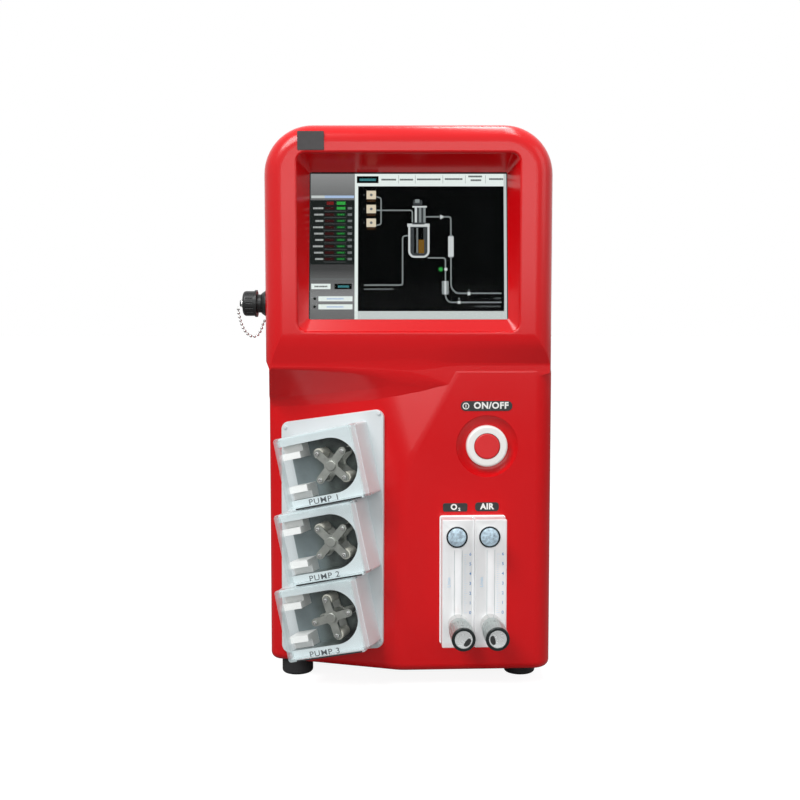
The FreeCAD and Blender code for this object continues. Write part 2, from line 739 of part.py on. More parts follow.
def gas_inlets():
    """Two hose tails with hexagonal shoulders, for air and oxygen."""
    tails = []
    for x in GAS_X:
        corners = [(GAS_HEX_RADIUS * math.cos(a), GAS_HEX_RADIUS * math.sin(a)) for a in around(6)]
        hexagon = prism(rounded_polygon(corners, (0.6,) * 6), 0, GAS_HEX_LENGTH)
        stem = rod(GAS_STEM_RADIUS, -GAS_REACH_IN, 0)
        ridge, neck, end = GAS_BARB_RADIUS, GAS_BARB_RADIUS - 0.8, GAS_HEX_LENGTH + GAS_BARB_LENGTH
        third = GAS_BARB_LENGTH / 3
        steps = [(0, GAS_HEX_LENGTH)]
        for i in range(3):
            foot_height = GAS_HEX_LENGTH + third * i
            steps += [(ridge, foot_height), (neck, foot_height + third)]
        barb = revolved(steps + [(0, end)])
        tail = fused([hexagon, stem, barb]).cut(rod(GAS_BARB_RADIUS / 2, -GAS_REACH_IN, end))
        tails.append(placed(tail, FreeCAD.Placement(Vec(-x, GAS_Z, 0), FreeCAD.Rotation())))
    return placed(Part.makeCompound(tails), REAR_FRAME)


def control_board():
    face = -SHEET - STANDOFF_LENGTH
    back = face - BOARD_THICKNESS
    board = plate(BOARD_WIDTH, BOARD_HEIGHT, 3, back, face, 0, BOARD_Z)
    chips = [plate(w, h, 1, back - CHIP_HEIGHT, back, x, BOARD_Z + z) for x, z, w, h in (
        (-50, 20, 34, 34), (5, -30, 60, 16), (52, 25, 28, 40), (-48, -38, 30, 22))]
    return placed(fused([board] + chips), REAR_FRAME)


def power_supply():
    low = UNDERSIDE + SHEET
    half_l, half_w = SUPPLY_LENGTH / 2, SUPPLY_WIDTH / 2
    return block(-half_l, half_l, SUPPLY_Y - half_w, SUPPLY_Y + half_w, low, low + SUPPLY_HEIGHT)


# ---- Display ----------------------------------------------------------------------------------------------


def window_sheet(margin, front, back, radius):
    return plate(SCREEN_WIDTH + 2 * margin, SCREEN_HEIGHT + 2 * margin, radius, -back, -front)


def display_gasket():
    frame = window_sheet(WINDOW_MARGIN + GASKET_WIDTH, 0, GASKET_THICKNESS, 4)
    return placed(frame.cut(window_sheet(WINDOW_MARGIN, -1, GASKET_THICKNESS + 1, WINDOW_RADIUS)), SCREEN_FRAME)


def display_glass():
    back = GASKET_THICKNESS + GLASS_THICKNESS
    return placed(window_sheet(WINDOW_MARGIN + GASKET_WIDTH, GASKET_THICKNESS, back, 4), SCREEN_FRAME)


def display_module():
    front = GASKET_THICKNESS + GLASS_THICKNESS
    return placed(window_sheet(MODULE_MARGIN, front, front + MODULE_THICKNESS, 2), SCREEN_FRAME)


# ---- Power button -----------------------------------------------------------------------------------------


def button_ring():
    """Bezel and threaded barrel in one piece, seated on the floor of the well."""
    bezel = rod(RING_RADIUS, -WELL_DEPTH, RING_PROUD)
    bezel = round_where(bezel, 2.5, lambda b: b.ZMin > RING_PROUD - 0.01)
    barrel = rod(BARREL_RADIUS, -WELL_DEPTH - BARREL_LENGTH, -WELL_DEPTH)
    low = -WELL_DEPTH - CAP_SKIRT
    ring = fused([bezel, barrel]).cut(rod(CAP_RADIUS + CAP_CLEARANCE, low, RING_PROUD + 1))
    bore = rod(PLUNGER_RADIUS + CAP_CLEARANCE, -WELL_DEPTH - BARREL_LENGTH - 1, low)
    return placed(ring.cut(bore), BUTTON_FRAME)


def button_cap():
    """Red cap with a plunger, stopped by the barrel's shoulder after its travel."""
    low = -WELL_DEPTH - CAP_SKIRT + BUTTON_TRAVEL + COVER_GAP
    cap = rod(CAP_RADIUS, low, RING_PROUD)
    cap = round_where(cap, 1.5, lambda b: b.ZMin > RING_PROUD - 0.01)
    plunger_end = -WELL_DEPTH - BARREL_LENGTH + BUTTON_TRAVEL + COVER_GAP
    return placed(fused([cap, rod(PLUNGER_RADIUS, plunger_end, low)]), BUTTON_FRAME)


def button_nut():
    face = -WELL_DEPTH - SHELL_WALL
    corners = [(NUT_RADIUS * math.cos(a), NUT_RADIUS * math.sin(a)) for a in around(6)]
    nut = prism(rounded_polygon(corners, (1.0,) * 6), face - NUT_THICKNESS, face)
    return placed(nut.cut(rod(BARREL_RADIUS + FIT_GAP, face - NUT_THICKNESS, face)), BUTTON_FRAME)


def button_switch():
    face = -WELL_DEPTH - BARREL_LENGTH
    return placed(plate(30, 30, 2, face - 28, face), BUTTON_FRAME)


# ---- Pump panel and pump heads ----------------------------------------------------------------------------


def panel_corners():
    """Corners of the pump panel in the left facet's frame: its top and bottom edges rise to the right."""
    stretch_x = math.cos(math.radians(LEFT_YAW))
    stretch_z = math.cos(math.radians(LEFT_LEAN))
    left, right = (PANEL_LEFT_X - PUMP_X) / stretch_x, (PANEL_RIGHT_X - PUMP_X) / stretch_x
    heights = (PANEL_LOW_LEFT_Z, PANEL_LOW_RIGHT_Z, PANEL_TOP_RIGHT_Z, PANEL_TOP_LEFT_Z)
    return [(x, (z - UNDERSIDE) / stretch_z) for x, z in zip((left, right, right, left), heights)]


def pump_panel():
    """Raised white plate on the left facet, with a hole for each pump's shaft."""
    panel = prism(rounded_polygon(panel_corners(), (PANEL_CORNER,) * 4), 0, PANEL_THICKNESS)
    panel = round_where(panel, PANEL_EDGE_ROUND, lambda b: b.ZMin > PANEL_THICKNESS - 0.01)
    panel = placed(panel, left_facet_frame(PUMP_X, UNDERSIDE))
    for number in range(PUMP_COUNT):
        panel = panel.cut(placed(rod(PANEL_SHAFT_HOLE, -5, 20, TRACK_X, 0), pump_frame(number)))
    return panel


def panel_screws():
    """Screws in the panel's two upper corners and its lower right corner; the lowest pump hides the fourth."""
    signs = ((1, 1), (-1, 1), (-1, -1), (1, -1))
    heads = []
    for (x, y), (inward_x, inward_y) in zip(panel_corners()[1:], signs[1:]):
        inset_x, inset_y = PANEL_SCREW_INSET * inward_x, PANEL_SCREW_INSET * inward_y
        heads.append(screw_head(PANEL_SCREW_RADIUS, PANEL_SCREW_HEAD, PANEL_THICKNESS, x + inset_x, y + inset_y))
    return placed(Part.makeCompound(heads), left_facet_frame(PUMP_X, UNDERSIDE))


def hinge_round(low, high):
    """Rounding about the hinge axis, between two heights along it."""
    return rod_y(HINGE_RADIUS, low, high, HINGE_X, HINGE_Z)


def pump_body(frame):
    """Cast head: a horseshoe track open to the left, a shaft bearing and pockets for the lid's two ears."""
    half_w, half_h = PUMP_WIDTH / 2, PUMP_HEIGHT / 2
    head = plate(PUMP_WIDTH, PUMP_HEIGHT, PUMP_CORNER, PANEL_THICKNESS, PUMP_FRONT)
    corner = block(HINGE_X, half_w + 1, -half_h - 1, half_h + 1, HINGE_Z, PUMP_FRONT + 1)
    head = head.cut(corner.cut(hinge_round(-half_h - 1, half_h + 1)))
    track = rod(TRACK_RADIUS, CAVITY_FLOOR, PUMP_FRONT + 1, TRACK_X, 0)
    mouth = block(-half_w - 1, TRACK_X, -TRACK_RADIUS, TRACK_RADIUS, CAVITY_FLOOR, PUMP_FRONT + 1)
    head = head.cut(track).cut(mouth).cut(rod(SHAFT_RADIUS + SHAFT_FIT, 0, PUMP_FRONT, TRACK_X, 0))
    reach = HINGE_RADIUS + EAR_GAP
    for side in (-1, 1):
        inner, outer = half_h - COVER_WALL - EAR_GAP, half_h + 1
        low, high = sorted((side * inner, side * outer))
        head = head.cut(block(HINGE_X - reach, half_w + 1, low, high, HINGE_Z - reach, PUMP_FRONT + 1))
        low, high = sorted((side * (half_h - HINGE_PIN_LENGTH), side * half_h))
        head = head.cut(rod_y(HINGE_PIN_RADIUS + PIN_FIT, low, high, HINGE_X, HINGE_Z))
    return placed(head, frame)


def pump_cover(frame):
    """Clear box lid with an ear at each end of its hinged side."""
    half_h = PUMP_HEIGHT / 2
    lid = plate(PUMP_WIDTH, PUMP_HEIGHT, PUMP_CORNER, COVER_BACK, COVER_FRONT)
    lid = round_where(lid, COVER_ROUND, lambda b: b.ZMin > COVER_FRONT - 0.01)
    wall = 2 * COVER_WALL
    lid = lid.cut(plate(PUMP_WIDTH - wall, PUMP_HEIGHT - wall, PUMP_CORNER / 2, COVER_BACK - 1, COVER_FRONT - COVER_WALL))
    outline = plate(PUMP_WIDTH, PUMP_HEIGHT, PUMP_CORNER, HINGE_Z - HINGE_RADIUS, COVER_FRONT)
    ears = []
    for low in (-half_h, half_h - COVER_WALL):
        high = low + COVER_WALL
        arm = block(HINGE_X - HINGE_RADIUS, HINGE_X + HINGE_RADIUS, low, high, HINGE_Z, COVER_BACK + COVER_WALL)
        ears.append(fused([arm, hinge_round(low, high)]).common(outline))
    lid = fused([lid] + ears)
    return placed(lid.cut(rod_y(HINGE_PIN_RADIUS + SHAFT_FIT, -half_h, half_h, HINGE_X, HINGE_Z)), frame)


def hinge_pins():
    """Two short pins for each lid, pressed into the head from its ends."""
    pins = []
    half_h = PUMP_HEIGHT / 2
    for number in range(PUMP_COUNT):
        for low in (-half_h, half_h - HINGE_PIN_LENGTH):
            pin = rod_y(HINGE_PIN_RADIUS, low, low + HINGE_PIN_LENGTH, HINGE_X, HINGE_Z)
            pins.append(placed(pin, pump_frame(number)))
    return Part.makeCompound(pins)


def tube_clamps(frame):
    """Two tube holders at the open end of the track, each with a step that leaves a channel by the wall."""
    left = -PUMP_WIDTH / 2 + CLAMP_SIDE_GAP
    right = left + CLAMP_LENGTH
    top = PUMP_FRONT - 1.0
    step_y = TRACK_RADIUS - TUBE_CHANNEL
    wall_y = TRACK_RADIUS - CLAMP_SIDE_GAP
    clamps = []
    for side in (-1, 1):
        low, high = sorted((side * CLAMP_INNER_Y, side * step_y))
        tall = block(left, right, low, high, CAVITY_FLOOR, top)
        low, high = sorted((side * step_y, side * wall_y))
        step = block(left, right, low, high, CAVITY_FLOOR, PUMP_FRONT - TUBE_CHANNEL_DEPTH)
        clamps.append(fused([tall, step]))
    return placed(Part.makeCompound(clamps), frame)


def rotor_levels():
    low = CAVITY_FLOOR + ROTOR_LIFT
    roller_low = low + ROTOR_PLATE + ROLLER_END_GAP
    roller_high = roller_low + ROLLER_LENGTH
    front_plate = roller_high + ROLLER_END_GAP
    return low, roller_low, roller_high, front_plate


def rotor_plate(low, angle):
    """Four-armed plate: two arms for rollers and two for guides."""
    arms = [rod(ROTOR_HUB_RADIUS, low, low + ROTOR_PLATE)]
    for i in range(4):
        reach = ROLLER_CIRCLE if i % 2 == 0 else GUIDE_CIRCLE
        half = ROTOR_LOBE_RADIUS
        arm = block(0, reach, -half, half, low, low + ROTOR_PLATE)
        lobe = rod(half, low, low + ROTOR_PLATE, reach, 0)
        both = fused([arm, lobe])
        both.rotate(Vec(0, 0, 0), Vec(0, 0, 1), angle + 90.0 * i)
        arms.append(both)
    return fused(arms)


def pump_rotor(frame, angle):
    low, roller_low, roller_high, front_plate = rotor_levels()
    pieces = [rotor_plate(low, angle), rotor_plate(front_plate, angle)]
    pieces.append(rod(ROTOR_HUB_RADIUS - 1.5, low, front_plate))
    pieces.append(rod(SHAFT_RADIUS, -SHAFT_REACH, low))
    cap = rod(ROTOR_CAP_RADIUS, front_plate + ROTOR_PLATE, front_plate + ROTOR_PLATE + ROTOR_CAP_HEIGHT)
    pieces.append(round_where(cap, 1.0, lambda b: b.ZMin > front_plate + ROTOR_PLATE + ROTOR_CAP_HEIGHT - 0.01))
    for i, a in enumerate(around(4, angle)):
        if i % 2 == 0:
            radius, reach = ROLLER_PIN_RADIUS, ROLLER_CIRCLE
        else:
            radius, reach = GUIDE_RADIUS, GUIDE_CIRCLE
        x, y = reach * math.cos(a), reach * math.sin(a)
        pieces.append(rod(radius, low, front_plate + ROTOR_PLATE + 1.2, x, y))
    rotor = fused(pieces)
    rotor.translate(Vec(TRACK_X, 0, 0))
    return placed(rotor, frame)


def roller_centre(angle, index):
    a = math.radians(angle + 180.0 * index)
    return TRACK_X + ROLLER_CIRCLE * math.cos(a), ROLLER_CIRCLE * math.sin(a)


def pump_roller(frame, angle, index):
    low, roller_low, roller_high, front_plate = rotor_levels()
    x, y = roller_centre(angle, index)
    roller = rod(ROLLER_RADIUS, roller_low, roller_high, x, y)
    return placed(roller.cut(rod(ROLLER_PIN_RADIUS + SHAFT_FIT, roller_low, roller_high, x, y)), frame)


def pump_motor(frame):
    """Gear motor bolted to the back of the pump panel."""
    gearbox = rod(MOTOR_RADIUS, -MOTOR_LENGTH, 0, TRACK_X, 0)
    can = rod(MOTOR_CAN_RADIUS, -MOTOR_LENGTH - MOTOR_CAN_LENGTH, -MOTOR_LENGTH, TRACK_X, 0)
    bore = rod(SHAFT_RADIUS + SHAFT_FIT, -SHAFT_REACH - 1, 0, TRACK_X, 0)
    return placed(fused([gearbox, can]).cut(bore), frame)


# ---- Rotameters -------------------------------------------------------------------------------------------


def scale_plate():
    middle = sum(METER_X) / 2
    spread = (METER_X[1] - METER_X[0]) / math.cos(math.radians(RIGHT_YAW))
    width = spread + METER_WIDTH + 2 * SCALE_PLATE_MARGIN
    sheet = plate(width, METER_HEIGHT + 2 * SCALE_PLATE_MARGIN, 2.5, 0, SCALE_PLATE)
    sheet = placed(sheet, right_facet_frame(middle, METER_Z))
    for number in range(len(METER_X)):
        for y in (VALVE_Y, OUTLET_Y):
            hole = rod(TAIL_RADIUS + TAIL_HOLE_GAP, -5, 5, 0, y)
            sheet = sheet.cut(placed(hole, meter_frame(number)))
    return sheet


def meter_block(frame):
    """Clear block with a tapered vertical bore, a valve pocket in front and two fitting pockets behind."""
    body = plate(METER_WIDTH, METER_HEIGHT, METER_EDGE_ROUND, METER_BACK, METER_FRONT)
    body = round_where(body, METER_EDGE_ROUND - 0.3, lambda b: b.ZMin > METER_FRONT - 0.01)
    length = TUBE_HIGH_Y - TUBE_LOW_Y
    tube = Part.makeCone(TUBE_LOW_RADIUS, TUBE_HIGH_RADIUS, length, Vec(0, TUBE_LOW_Y, TUBE_DEPTH), Vec(0, 1, 0))
    body = body.cut(tube).cut(rod_y(PASSAGE_RADIUS, VALVE_Y, OUTLET_Y, 0, TUBE_DEPTH))
    body = body.cut(rod(VALVE_RADIUS, METER_FRONT - VALVE_DEPTH, METER_FRONT + 1, 0, VALVE_Y))
    body = body.cut(rod(OUTLET_RADIUS, METER_BACK - 1, METER_BACK + OUTLET_DEPTH, 0, OUTLET_Y))
    body = body.cut(rod(TAIL_RADIUS + FIT_GAP, METER_BACK - 1, METER_BACK + 5, 0, VALVE_Y))
    body = body.cut(rod(PASSAGE_RADIUS, METER_BACK, METER_FRONT - VALVE_DEPTH + 1, 0, VALVE_Y))
    return placed(body, frame)


def meter_float(frame):
    ball = Part.makeSphere(FLOAT_RADIUS, Vec(0, FLOAT_REST_Y, TUBE_DEPTH))
    return placed(ball, frame)


def meter_valve(frame):
    """Needle-valve bonnet with the stem that the knob turns on."""
    plug = rod(VALVE_RADIUS - FIT_GAP, METER_FRONT - VALVE_PLUG, METER_FRONT)
    collar = rod(COLLAR_RADIUS, METER_FRONT, METER_FRONT + COLLAR_LENGTH)
    collar = round_where(collar, 1.2, lambda b: b.ZMin > METER_FRONT + COLLAR_LENGTH - 0.01)
    stem = rod(STEM_RADIUS, METER_FRONT, METER_FRONT + COLLAR_LENGTH + STEM_LENGTH)
    valve = fused([plug, collar, stem])
    valve.translate(Vec(0, VALVE_Y, 0))
    return placed(valve, frame)


def meter_knob(frame):
    """Fluted knob with a raised rim round a dished face."""
    low, high = KNOB_START, KNOB_START + KNOB_LENGTH
    waist = low + 0.3 * KNOB_LENGTH
    face = KNOB_RADIUS - KNOB_RIM
    knob = revolved([
        (0, low), (KNOB_FOOT_RADIUS, low), (KNOB_RADIUS, waist), (KNOB_RADIUS, high - 0.8),
        (KNOB_RADIUS - 0.8, high), (face, high), (face - KNOB_DISH, high - KNOB_DISH), (0, high - KNOB_DISH),
    ])
    for a in around(KNOB_FLUTE_COUNT):
        x, y = (KNOB_RADIUS + 0.3) * math.cos(a), (KNOB_RADIUS + 0.3) * math.sin(a)
        knob = knob.cut(rod(KNOB_FLUTE_RADIUS, waist + 1.5, high - 3.0, x, y))
    stem_end = METER_FRONT + COLLAR_LENGTH + STEM_LENGTH
    knob = knob.cut(rod(STEM_RADIUS + SHAFT_FIT, low - 1, stem_end + KNOB_GAP))
    knob.translate(Vec(0, VALVE_Y, 0))
    return placed(knob, frame)


def meter_fittings():
    """Pipe tails behind each rotameter: the inlet behind the valve and the outlet at the top."""
    tails = []
    for number in range(len(METER_X)):
        frame = meter_frame(number)
        disc = rod(OUTLET_RADIUS - FIT_GAP, METER_BACK, METER_BACK + OUTLET_DEPTH - FIT_GAP, 0, OUTLET_Y)
        outlet = fused([disc, rod(TAIL_RADIUS, -TAIL_LENGTH, METER_BACK, 0, OUTLET_Y)])
        outlet = outlet.cut(rod(PASSAGE_RADIUS, -TAIL_LENGTH, METER_BACK + OUTLET_DEPTH, 0, OUTLET_Y))
        inlet = rod(TAIL_RADIUS, -TAIL_LENGTH, METER_BACK + 5 - FIT_GAP, 0, VALVE_Y)
        inlet = inlet.cut(rod(PASSAGE_RADIUS, -TAIL_LENGTH, METER_BACK + 5, 0, VALVE_Y))
        tails += [placed(outlet, frame), placed(inlet, frame)]
    return Part.makeCompound(tails)


# ---- Side connector ---------------------------------------------------------------------------------------


def connector_receptacle():
    """Panel receptacle, put through the wall from inside and held by the nut outside."""
    barrel = rod(BARREL_OUTER, -SHELL_WALL, BARREL_REACH)
    flange = rod(INNER_FLANGE_RADIUS, -SHELL_WALL - INNER_FLANGE, -SHELL_WALL)
    rear = rod(BARREL_OUTER - 1, -SHELL_WALL - INNER_FLANGE - REAR_BARREL, -SHELL_WALL - INNER_FLANGE)
    socket = rod(BARREL_BORE, BARREL_REACH - SOCKET_DEPTH, BARREL_REACH + 1)
    body = fused([barrel, flange, rear]).cut(socket)
    low = BARREL_REACH - SOCKET_DEPTH
    contacts = [
        rod(CONTACT_RADIUS, low - 1, low + 0.6 * SOCKET_DEPTH, CONTACT_CIRCLE * math.cos(a), CONTACT_CIRCLE * math.sin(a))
        for a in around(CONTACT_COUNT, 30)
    ]
    return placed(fused([body] + contacts), SIDE_FRAME)


def connector_nut():
    """Round nut that tapers away from the wall."""
    bore, foot, rim = BARREL_OUTER + FIT_GAP, WASHER_THICKNESS, NUT_FACE
    nut = revolved([
        (bore, foot), (NUT_FOOT_RADIUS, foot), (NUT_FOOT_RADIUS, foot + 1.2), (NUT_RIM_RADIUS, rim - 0.8),
        (NUT_RIM_RADIUS - 0.8, rim), (bore, rim),
    ])
    return placed(nut, SIDE_FRAME)


def chain_washer():
    """Washer under the nut, with a tab below that holds the chain's last link."""
    disc = rod(WASHER_RADIUS, 0, WASHER_THICKNESS)
    half = WASHER_TAB_WIDTH / 2
    tab = block(-half, half, -WASHER_TAB_REACH + half, 0, 0, WASHER_THICKNESS)
    tip = rod(half, 0, WASHER_THICKNESS, 0, -WASHER_TAB_REACH + half)
    washer = fused([disc, tab, tip]).cut(rod(BARREL_OUTER + FIT_GAP, -1, WASHER_THICKNESS + 1))
    return placed(washer, SIDE_FRAME)


def connector_cap():
    """Grooved dust cap with a headed post for the swivel ring."""
    lip = rod(CAP_LIP_RADIUS, CAP_START, CAP_START + CAP_LIP)
    body = rod(CAP_OUTER, CAP_START + CAP_LIP, CAP_END)
    body = round_where(body, CAP_ROUND, lambda b: b.ZMin > CAP_END - 0.01)
    for a in around(CAP_GROOVE_COUNT):
        x, y = (CAP_OUTER + 0.2) * math.cos(a), (CAP_OUTER + 0.2) * math.sin(a)
        body = body.cut(rod(CAP_GROOVE_RADIUS, CAP_START + CAP_LIP + 1.5, CAP_END - CAP_ROUND, x, y))
    post_end = CAP_END + POST_LENGTH
    post = rod(POST_RADIUS, CAP_END, post_end)
    head = rod(POST_HEAD_RADIUS, post_end - POST_HEAD, post_end)
    cap = fused([lip, body, post, head])
    hollow = rod(BARREL_OUTER + CAP_BORE_GAP, CAP_START - 1, BARREL_REACH + CAP_BORE_GAP)
    return placed(cap.cut(hollow), SIDE_FRAME)


def cap_ring():
    """Ring that swivels on the cap's post, with a lug below for the chain's first link."""
    low = CAP_END + (POST_LENGTH - POST_HEAD - RING_WIRE) / 2
    high = low + RING_WIRE
    lug_y = CHAIN_ROUTE[0][1] + BEAD_RADIUS
    ring = rod(RING_OUTER, low, high)
    lug_high = CHAIN_ROUTE[0][0] + BEAD_LINK_RADIUS
    lug = block(-1.6, 1.6, lug_y - 1.0, -RING_OUTER + 1.2, low, lug_high)
    ring = fused([ring, lug]).cut(rod(POST_RADIUS + RING_GAP, low - 1, high + 1))
    ring = ring.cut(Part.makeSphere(BEAD_RADIUS + RING_GAP, bead_points()[0]))
    return placed(ring, SIDE_FRAME)


def bead_points():
    """Bead centres at an even pitch along the chain's smooth route."""
    curve = Part.BSplineCurve()
    curve.interpolate([Vec(0, height, out) for out, height in CHAIN_ROUTE])
    count = int(round(curve.length() / BEAD_PITCH))
    return curve.discretize(Number=count + 1)


def cap_chain():
    """Ball chain: beads joined by thin links."""
    points = bead_points()
    links = []
    for start, end in zip(points, points[1:]):
        links.append(Part.makeCylinder(BEAD_LINK_RADIUS, start.distanceToPoint(end), start, end - start))
    beads = [Part.makeSphere(BEAD_RADIUS, p) for p in points]
    chain = beads[0].multiFuse(beads[1:] + links)
    return placed(chain, SIDE_FRAME)


# ---- The whole object -------------------------------------------------------------------------------------


def build_pieces():
    pieces = {
        "front_shell": front_shell(),
        "wrap_cover": wrap_cover(),
        "base_plate": base_plate(),
        "rear_panel": rear_panel(),
        "case_screws": case_screws(),
        "foot_front_left": foot(-FOOT_X, FRONT_FOOT_Y),
        "foot_front_right": foot(FOOT_X, FRONT_FOOT_Y),
        "foot_rear_left": foot(-FOOT_X, REAR_FOOT_Y),
        "foot_rear_right": foot(FOOT_X, REAR_FOOT_Y),
        "display_gasket": display_gasket(),
        "display_glass": display_glass(),
        "display_module": display_module(),
        "button_ring": button_ring(),
        "button_cap": button_cap(),
        "button_nut": button_nut(),
        "button_switch": button_switch(),
        "pump_panel": pump_panel(),
        "panel_screws": panel_screws(),
        "hinge_pins": hinge_pins(),
        "scale_plate": scale_plate(),
        "meter_fittings": meter_fittings(),
        "connector_receptacle": connector_receptacle(),
        "connector_nut": connector_nut(),
        "chain_washer": chain_washer(),
        "connector_cap": connector_cap(),
        "cap_ring": cap_ring(),
        "cap_chain": cap_chain(),
        "power_inlet": power_inlet(),
        "gas_inlets": gas_inlets(),
        "control_board": control_board(),
        "power_supply": power_supply(),
    }
    for number in range(PUMP_COUNT):
        name = f"pump_{number + 1}"
        frame = pump_frame(number)
        angle = ROTOR_ANGLES[number]
        pieces[f"{name}_body"] = pump_body(frame)
        pieces[f"{name}_cover"] = pump_cover(frame)
        pieces[f"{name}_clamps"] = tube_clamps(frame)
        pieces[f"{name}_rotor"] = pump_rotor(frame, angle)
        pieces[f"{name}_motor"] = pump_motor(frame)
        for index in range(2):
            pieces[f"{name}_roller_{'ab'[index]}"] = pump_roller(frame, angle, index)
    for number in range(len(METER_X)):
        name = ("oxygen_meter", "air_meter")[number]
        frame = meter_frame(number)
        pieces[f"{name}_block"] = meter_block(frame)
        pieces[f"{name}_float"] = meter_float(frame)
        pieces[f"{name}_valve"] = meter_valve(frame)
        pieces[f"{name}_knob"] = meter_knob(frame)
    return pieces


def whole_box(pieces):
    box = FreeCAD.BoundBox()
    for shape in pieces.values():
        box.add(shape.optimalBoundingBox(True, False))
    return box


PIECES = build_pieces()
WHOLE = whole_box(PIECES)
ORIGIN_SHIFT = Vec(-WHOLE.Center.x, -WHOLE.Center.y, -WHOLE.ZMin)
for node, piece in PIECES.items():
    piece.translate(ORIGIN_SHIFT)
    piece.exportStep(f"parts/{node}.step")
print("pieces", len(PIECES), "size", [round(v, 2) for v in (WHOLE.XLength, WHOLE.YLength, WHOLE.ZLength)])
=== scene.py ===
import math

import bmesh
import bpy
from mathutils import Matrix, Vector


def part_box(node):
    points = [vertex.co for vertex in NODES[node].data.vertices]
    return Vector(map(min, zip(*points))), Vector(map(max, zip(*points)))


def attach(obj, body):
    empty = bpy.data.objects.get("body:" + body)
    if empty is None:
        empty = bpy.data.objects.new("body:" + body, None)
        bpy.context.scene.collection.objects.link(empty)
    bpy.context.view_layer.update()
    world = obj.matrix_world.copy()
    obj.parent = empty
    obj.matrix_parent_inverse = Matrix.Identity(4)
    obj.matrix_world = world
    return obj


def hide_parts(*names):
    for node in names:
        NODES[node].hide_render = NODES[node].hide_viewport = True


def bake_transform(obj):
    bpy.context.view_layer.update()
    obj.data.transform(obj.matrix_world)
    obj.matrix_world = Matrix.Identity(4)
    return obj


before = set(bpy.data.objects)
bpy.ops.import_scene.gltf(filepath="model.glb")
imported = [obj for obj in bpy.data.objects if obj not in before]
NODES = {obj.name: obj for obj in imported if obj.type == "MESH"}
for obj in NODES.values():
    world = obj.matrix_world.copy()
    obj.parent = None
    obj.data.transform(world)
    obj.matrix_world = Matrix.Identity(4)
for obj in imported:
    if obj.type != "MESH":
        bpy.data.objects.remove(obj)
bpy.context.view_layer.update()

# Bench bioreactor control tower. Lengths below are in millimetres, in the part's own design axes: X = 0 on the
# cabinet's middle plane, Y = 0 on the screen frame's front plane and Z = 0 on the bench.
low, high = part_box("front_shell")
SHIFT = Vector(((low.x + high.x) / 2, low.y, 0))

# ---- Camera -----------------------------------------------------------------------------------------------

camera_data = bpy.data.cameras.new("camera")
camera_data.sensor_width = 36.0
camera_data.lens = 50.85
camera_data.shift_x = -0.0106
camera_data.shift_y = 0.0159
camera_data.clip_end = 50.0
camera = bpy.data.objects.new("camera", camera_data)
camera.location = SHIFT + Vector((0, -1.2, 0.392))
camera.rotation_euler = (math.radians(85.6), 0, 0)
bpy.context.scene.collection.objects.link(camera)
bpy.context.scene.camera = camera

# ---- Dimensions, most of them shared with the part --------------------------------------------------------

LEFT_YAW, LEFT_LEAN, RIGHT_YAW = 17.6, 0.8, 3.0
FOLD_X, SETBACK, UNDERSIDE = -10.0, 2.5, 17.0
LEFT_SLOPE = math.tan(math.radians(LEFT_YAW))
LEFT_LEAN_SLOPE = math.tan(math.radians(LEFT_LEAN)) / math.cos(math.radians(LEFT_YAW))
RIGHT_SLOPE = math.tan(math.radians(RIGHT_YAW))
SCREEN_WIDTH, SCREEN_HEIGHT, SCREEN_Y, SCREEN_Z, SCREEN_LEAN = 211.2, 158.4, 21.5, 477.8, 8.4
PICTURE_DEPTH, PICTURE_LAYER = -3.95, 0.03
PUMP_COUNT, PUMP_X, PUMP_TOP_Z, PUMP_PITCH, PUMP_ROLL = 3, -78.0, 242.3, 81.3, 12.8
PUMP_FRONT, TRACK_X, COVER_FRONT = 42.0, 10.0, 54.3
CAVITY_REACH, CAVITY_LEFT = 30.0, -44.75
ROLLER_CIRCLE, GUIDE_CIRCLE, ROTOR_TOP = 19.5, 20.0, 43.0
ROTOR_ANGLES = (130.0, 127.0, 97.0)
GASES = ("oxygen", "air")
METER_X, METER_Z, METER_FRONT = (51.6, 86.3), 118.4, 23.5
TUBE_LOW, TUBE_HIGH, VALVE_Y, OUTLET_Y, KNOB_END = -35.0, 35.5, -43.4, 48.5, 83.5
SCALE_ZERO_Y, TICK_PITCH, TICK_COUNT, FIGURE_STEP, FIGURE_COUNT = -31.0, 2.1, 31, 5, 7
KNOB_CRESCENTS = (-38.0, 193.0)
PRINT_LIFT, EDGE_LIFT, TICK_LIFT, LETTER_LIFT = 0.04, 0.05, 0.06, 0.53
CONNECTOR_X, CONNECTOR_Y, CONNECTOR_Z = -153.5, 48.0, 416.4
BEAD_RADIUS, BEAD_PITCH, LINK_RADIUS = 1.6, 4.1, 0.5
# The cap's chain from the swivel to the washer: millimetres out from the side panel, then up from the connector
CHAIN_ROUTE = (
    (33.7, -6.2), (33.4, -10.5), (30.5, -22.0), (26.3, -30.5), (21.5, -35.0),
    (16.5, -36.2), (12.0, -33.8), (8.8, -28.5), (6.6, -22.0), (4.9, -19.2),
)


def face_frame(x, y, z, yaw_left=0.0, lean_back=0.0, roll=0.0):
    """Matrix from a face's own millimetres (right, up, out) to the scene."""
    turn = Matrix.Rotation(math.radians(-yaw_left), 4, "Z")
    tip = Matrix.Rotation(math.radians(90.0 - lean_back), 4, "X")
    spin = Matrix.Rotation(math.radians(roll), 4, "Z")
    place = Matrix.Translation(SHIFT + Vector((x, y, z)) / 1000)
    return place @ turn @ tip @ spin @ Matrix.Scale(0.001, 4)


def left_facet(x, z, roll=0.0):
    y = SETBACK - LEFT_SLOPE * (x - FOLD_X) + LEFT_LEAN_SLOPE * (z - UNDERSIDE)
    return face_frame(x, y, z, LEFT_YAW, LEFT_LEAN, roll)


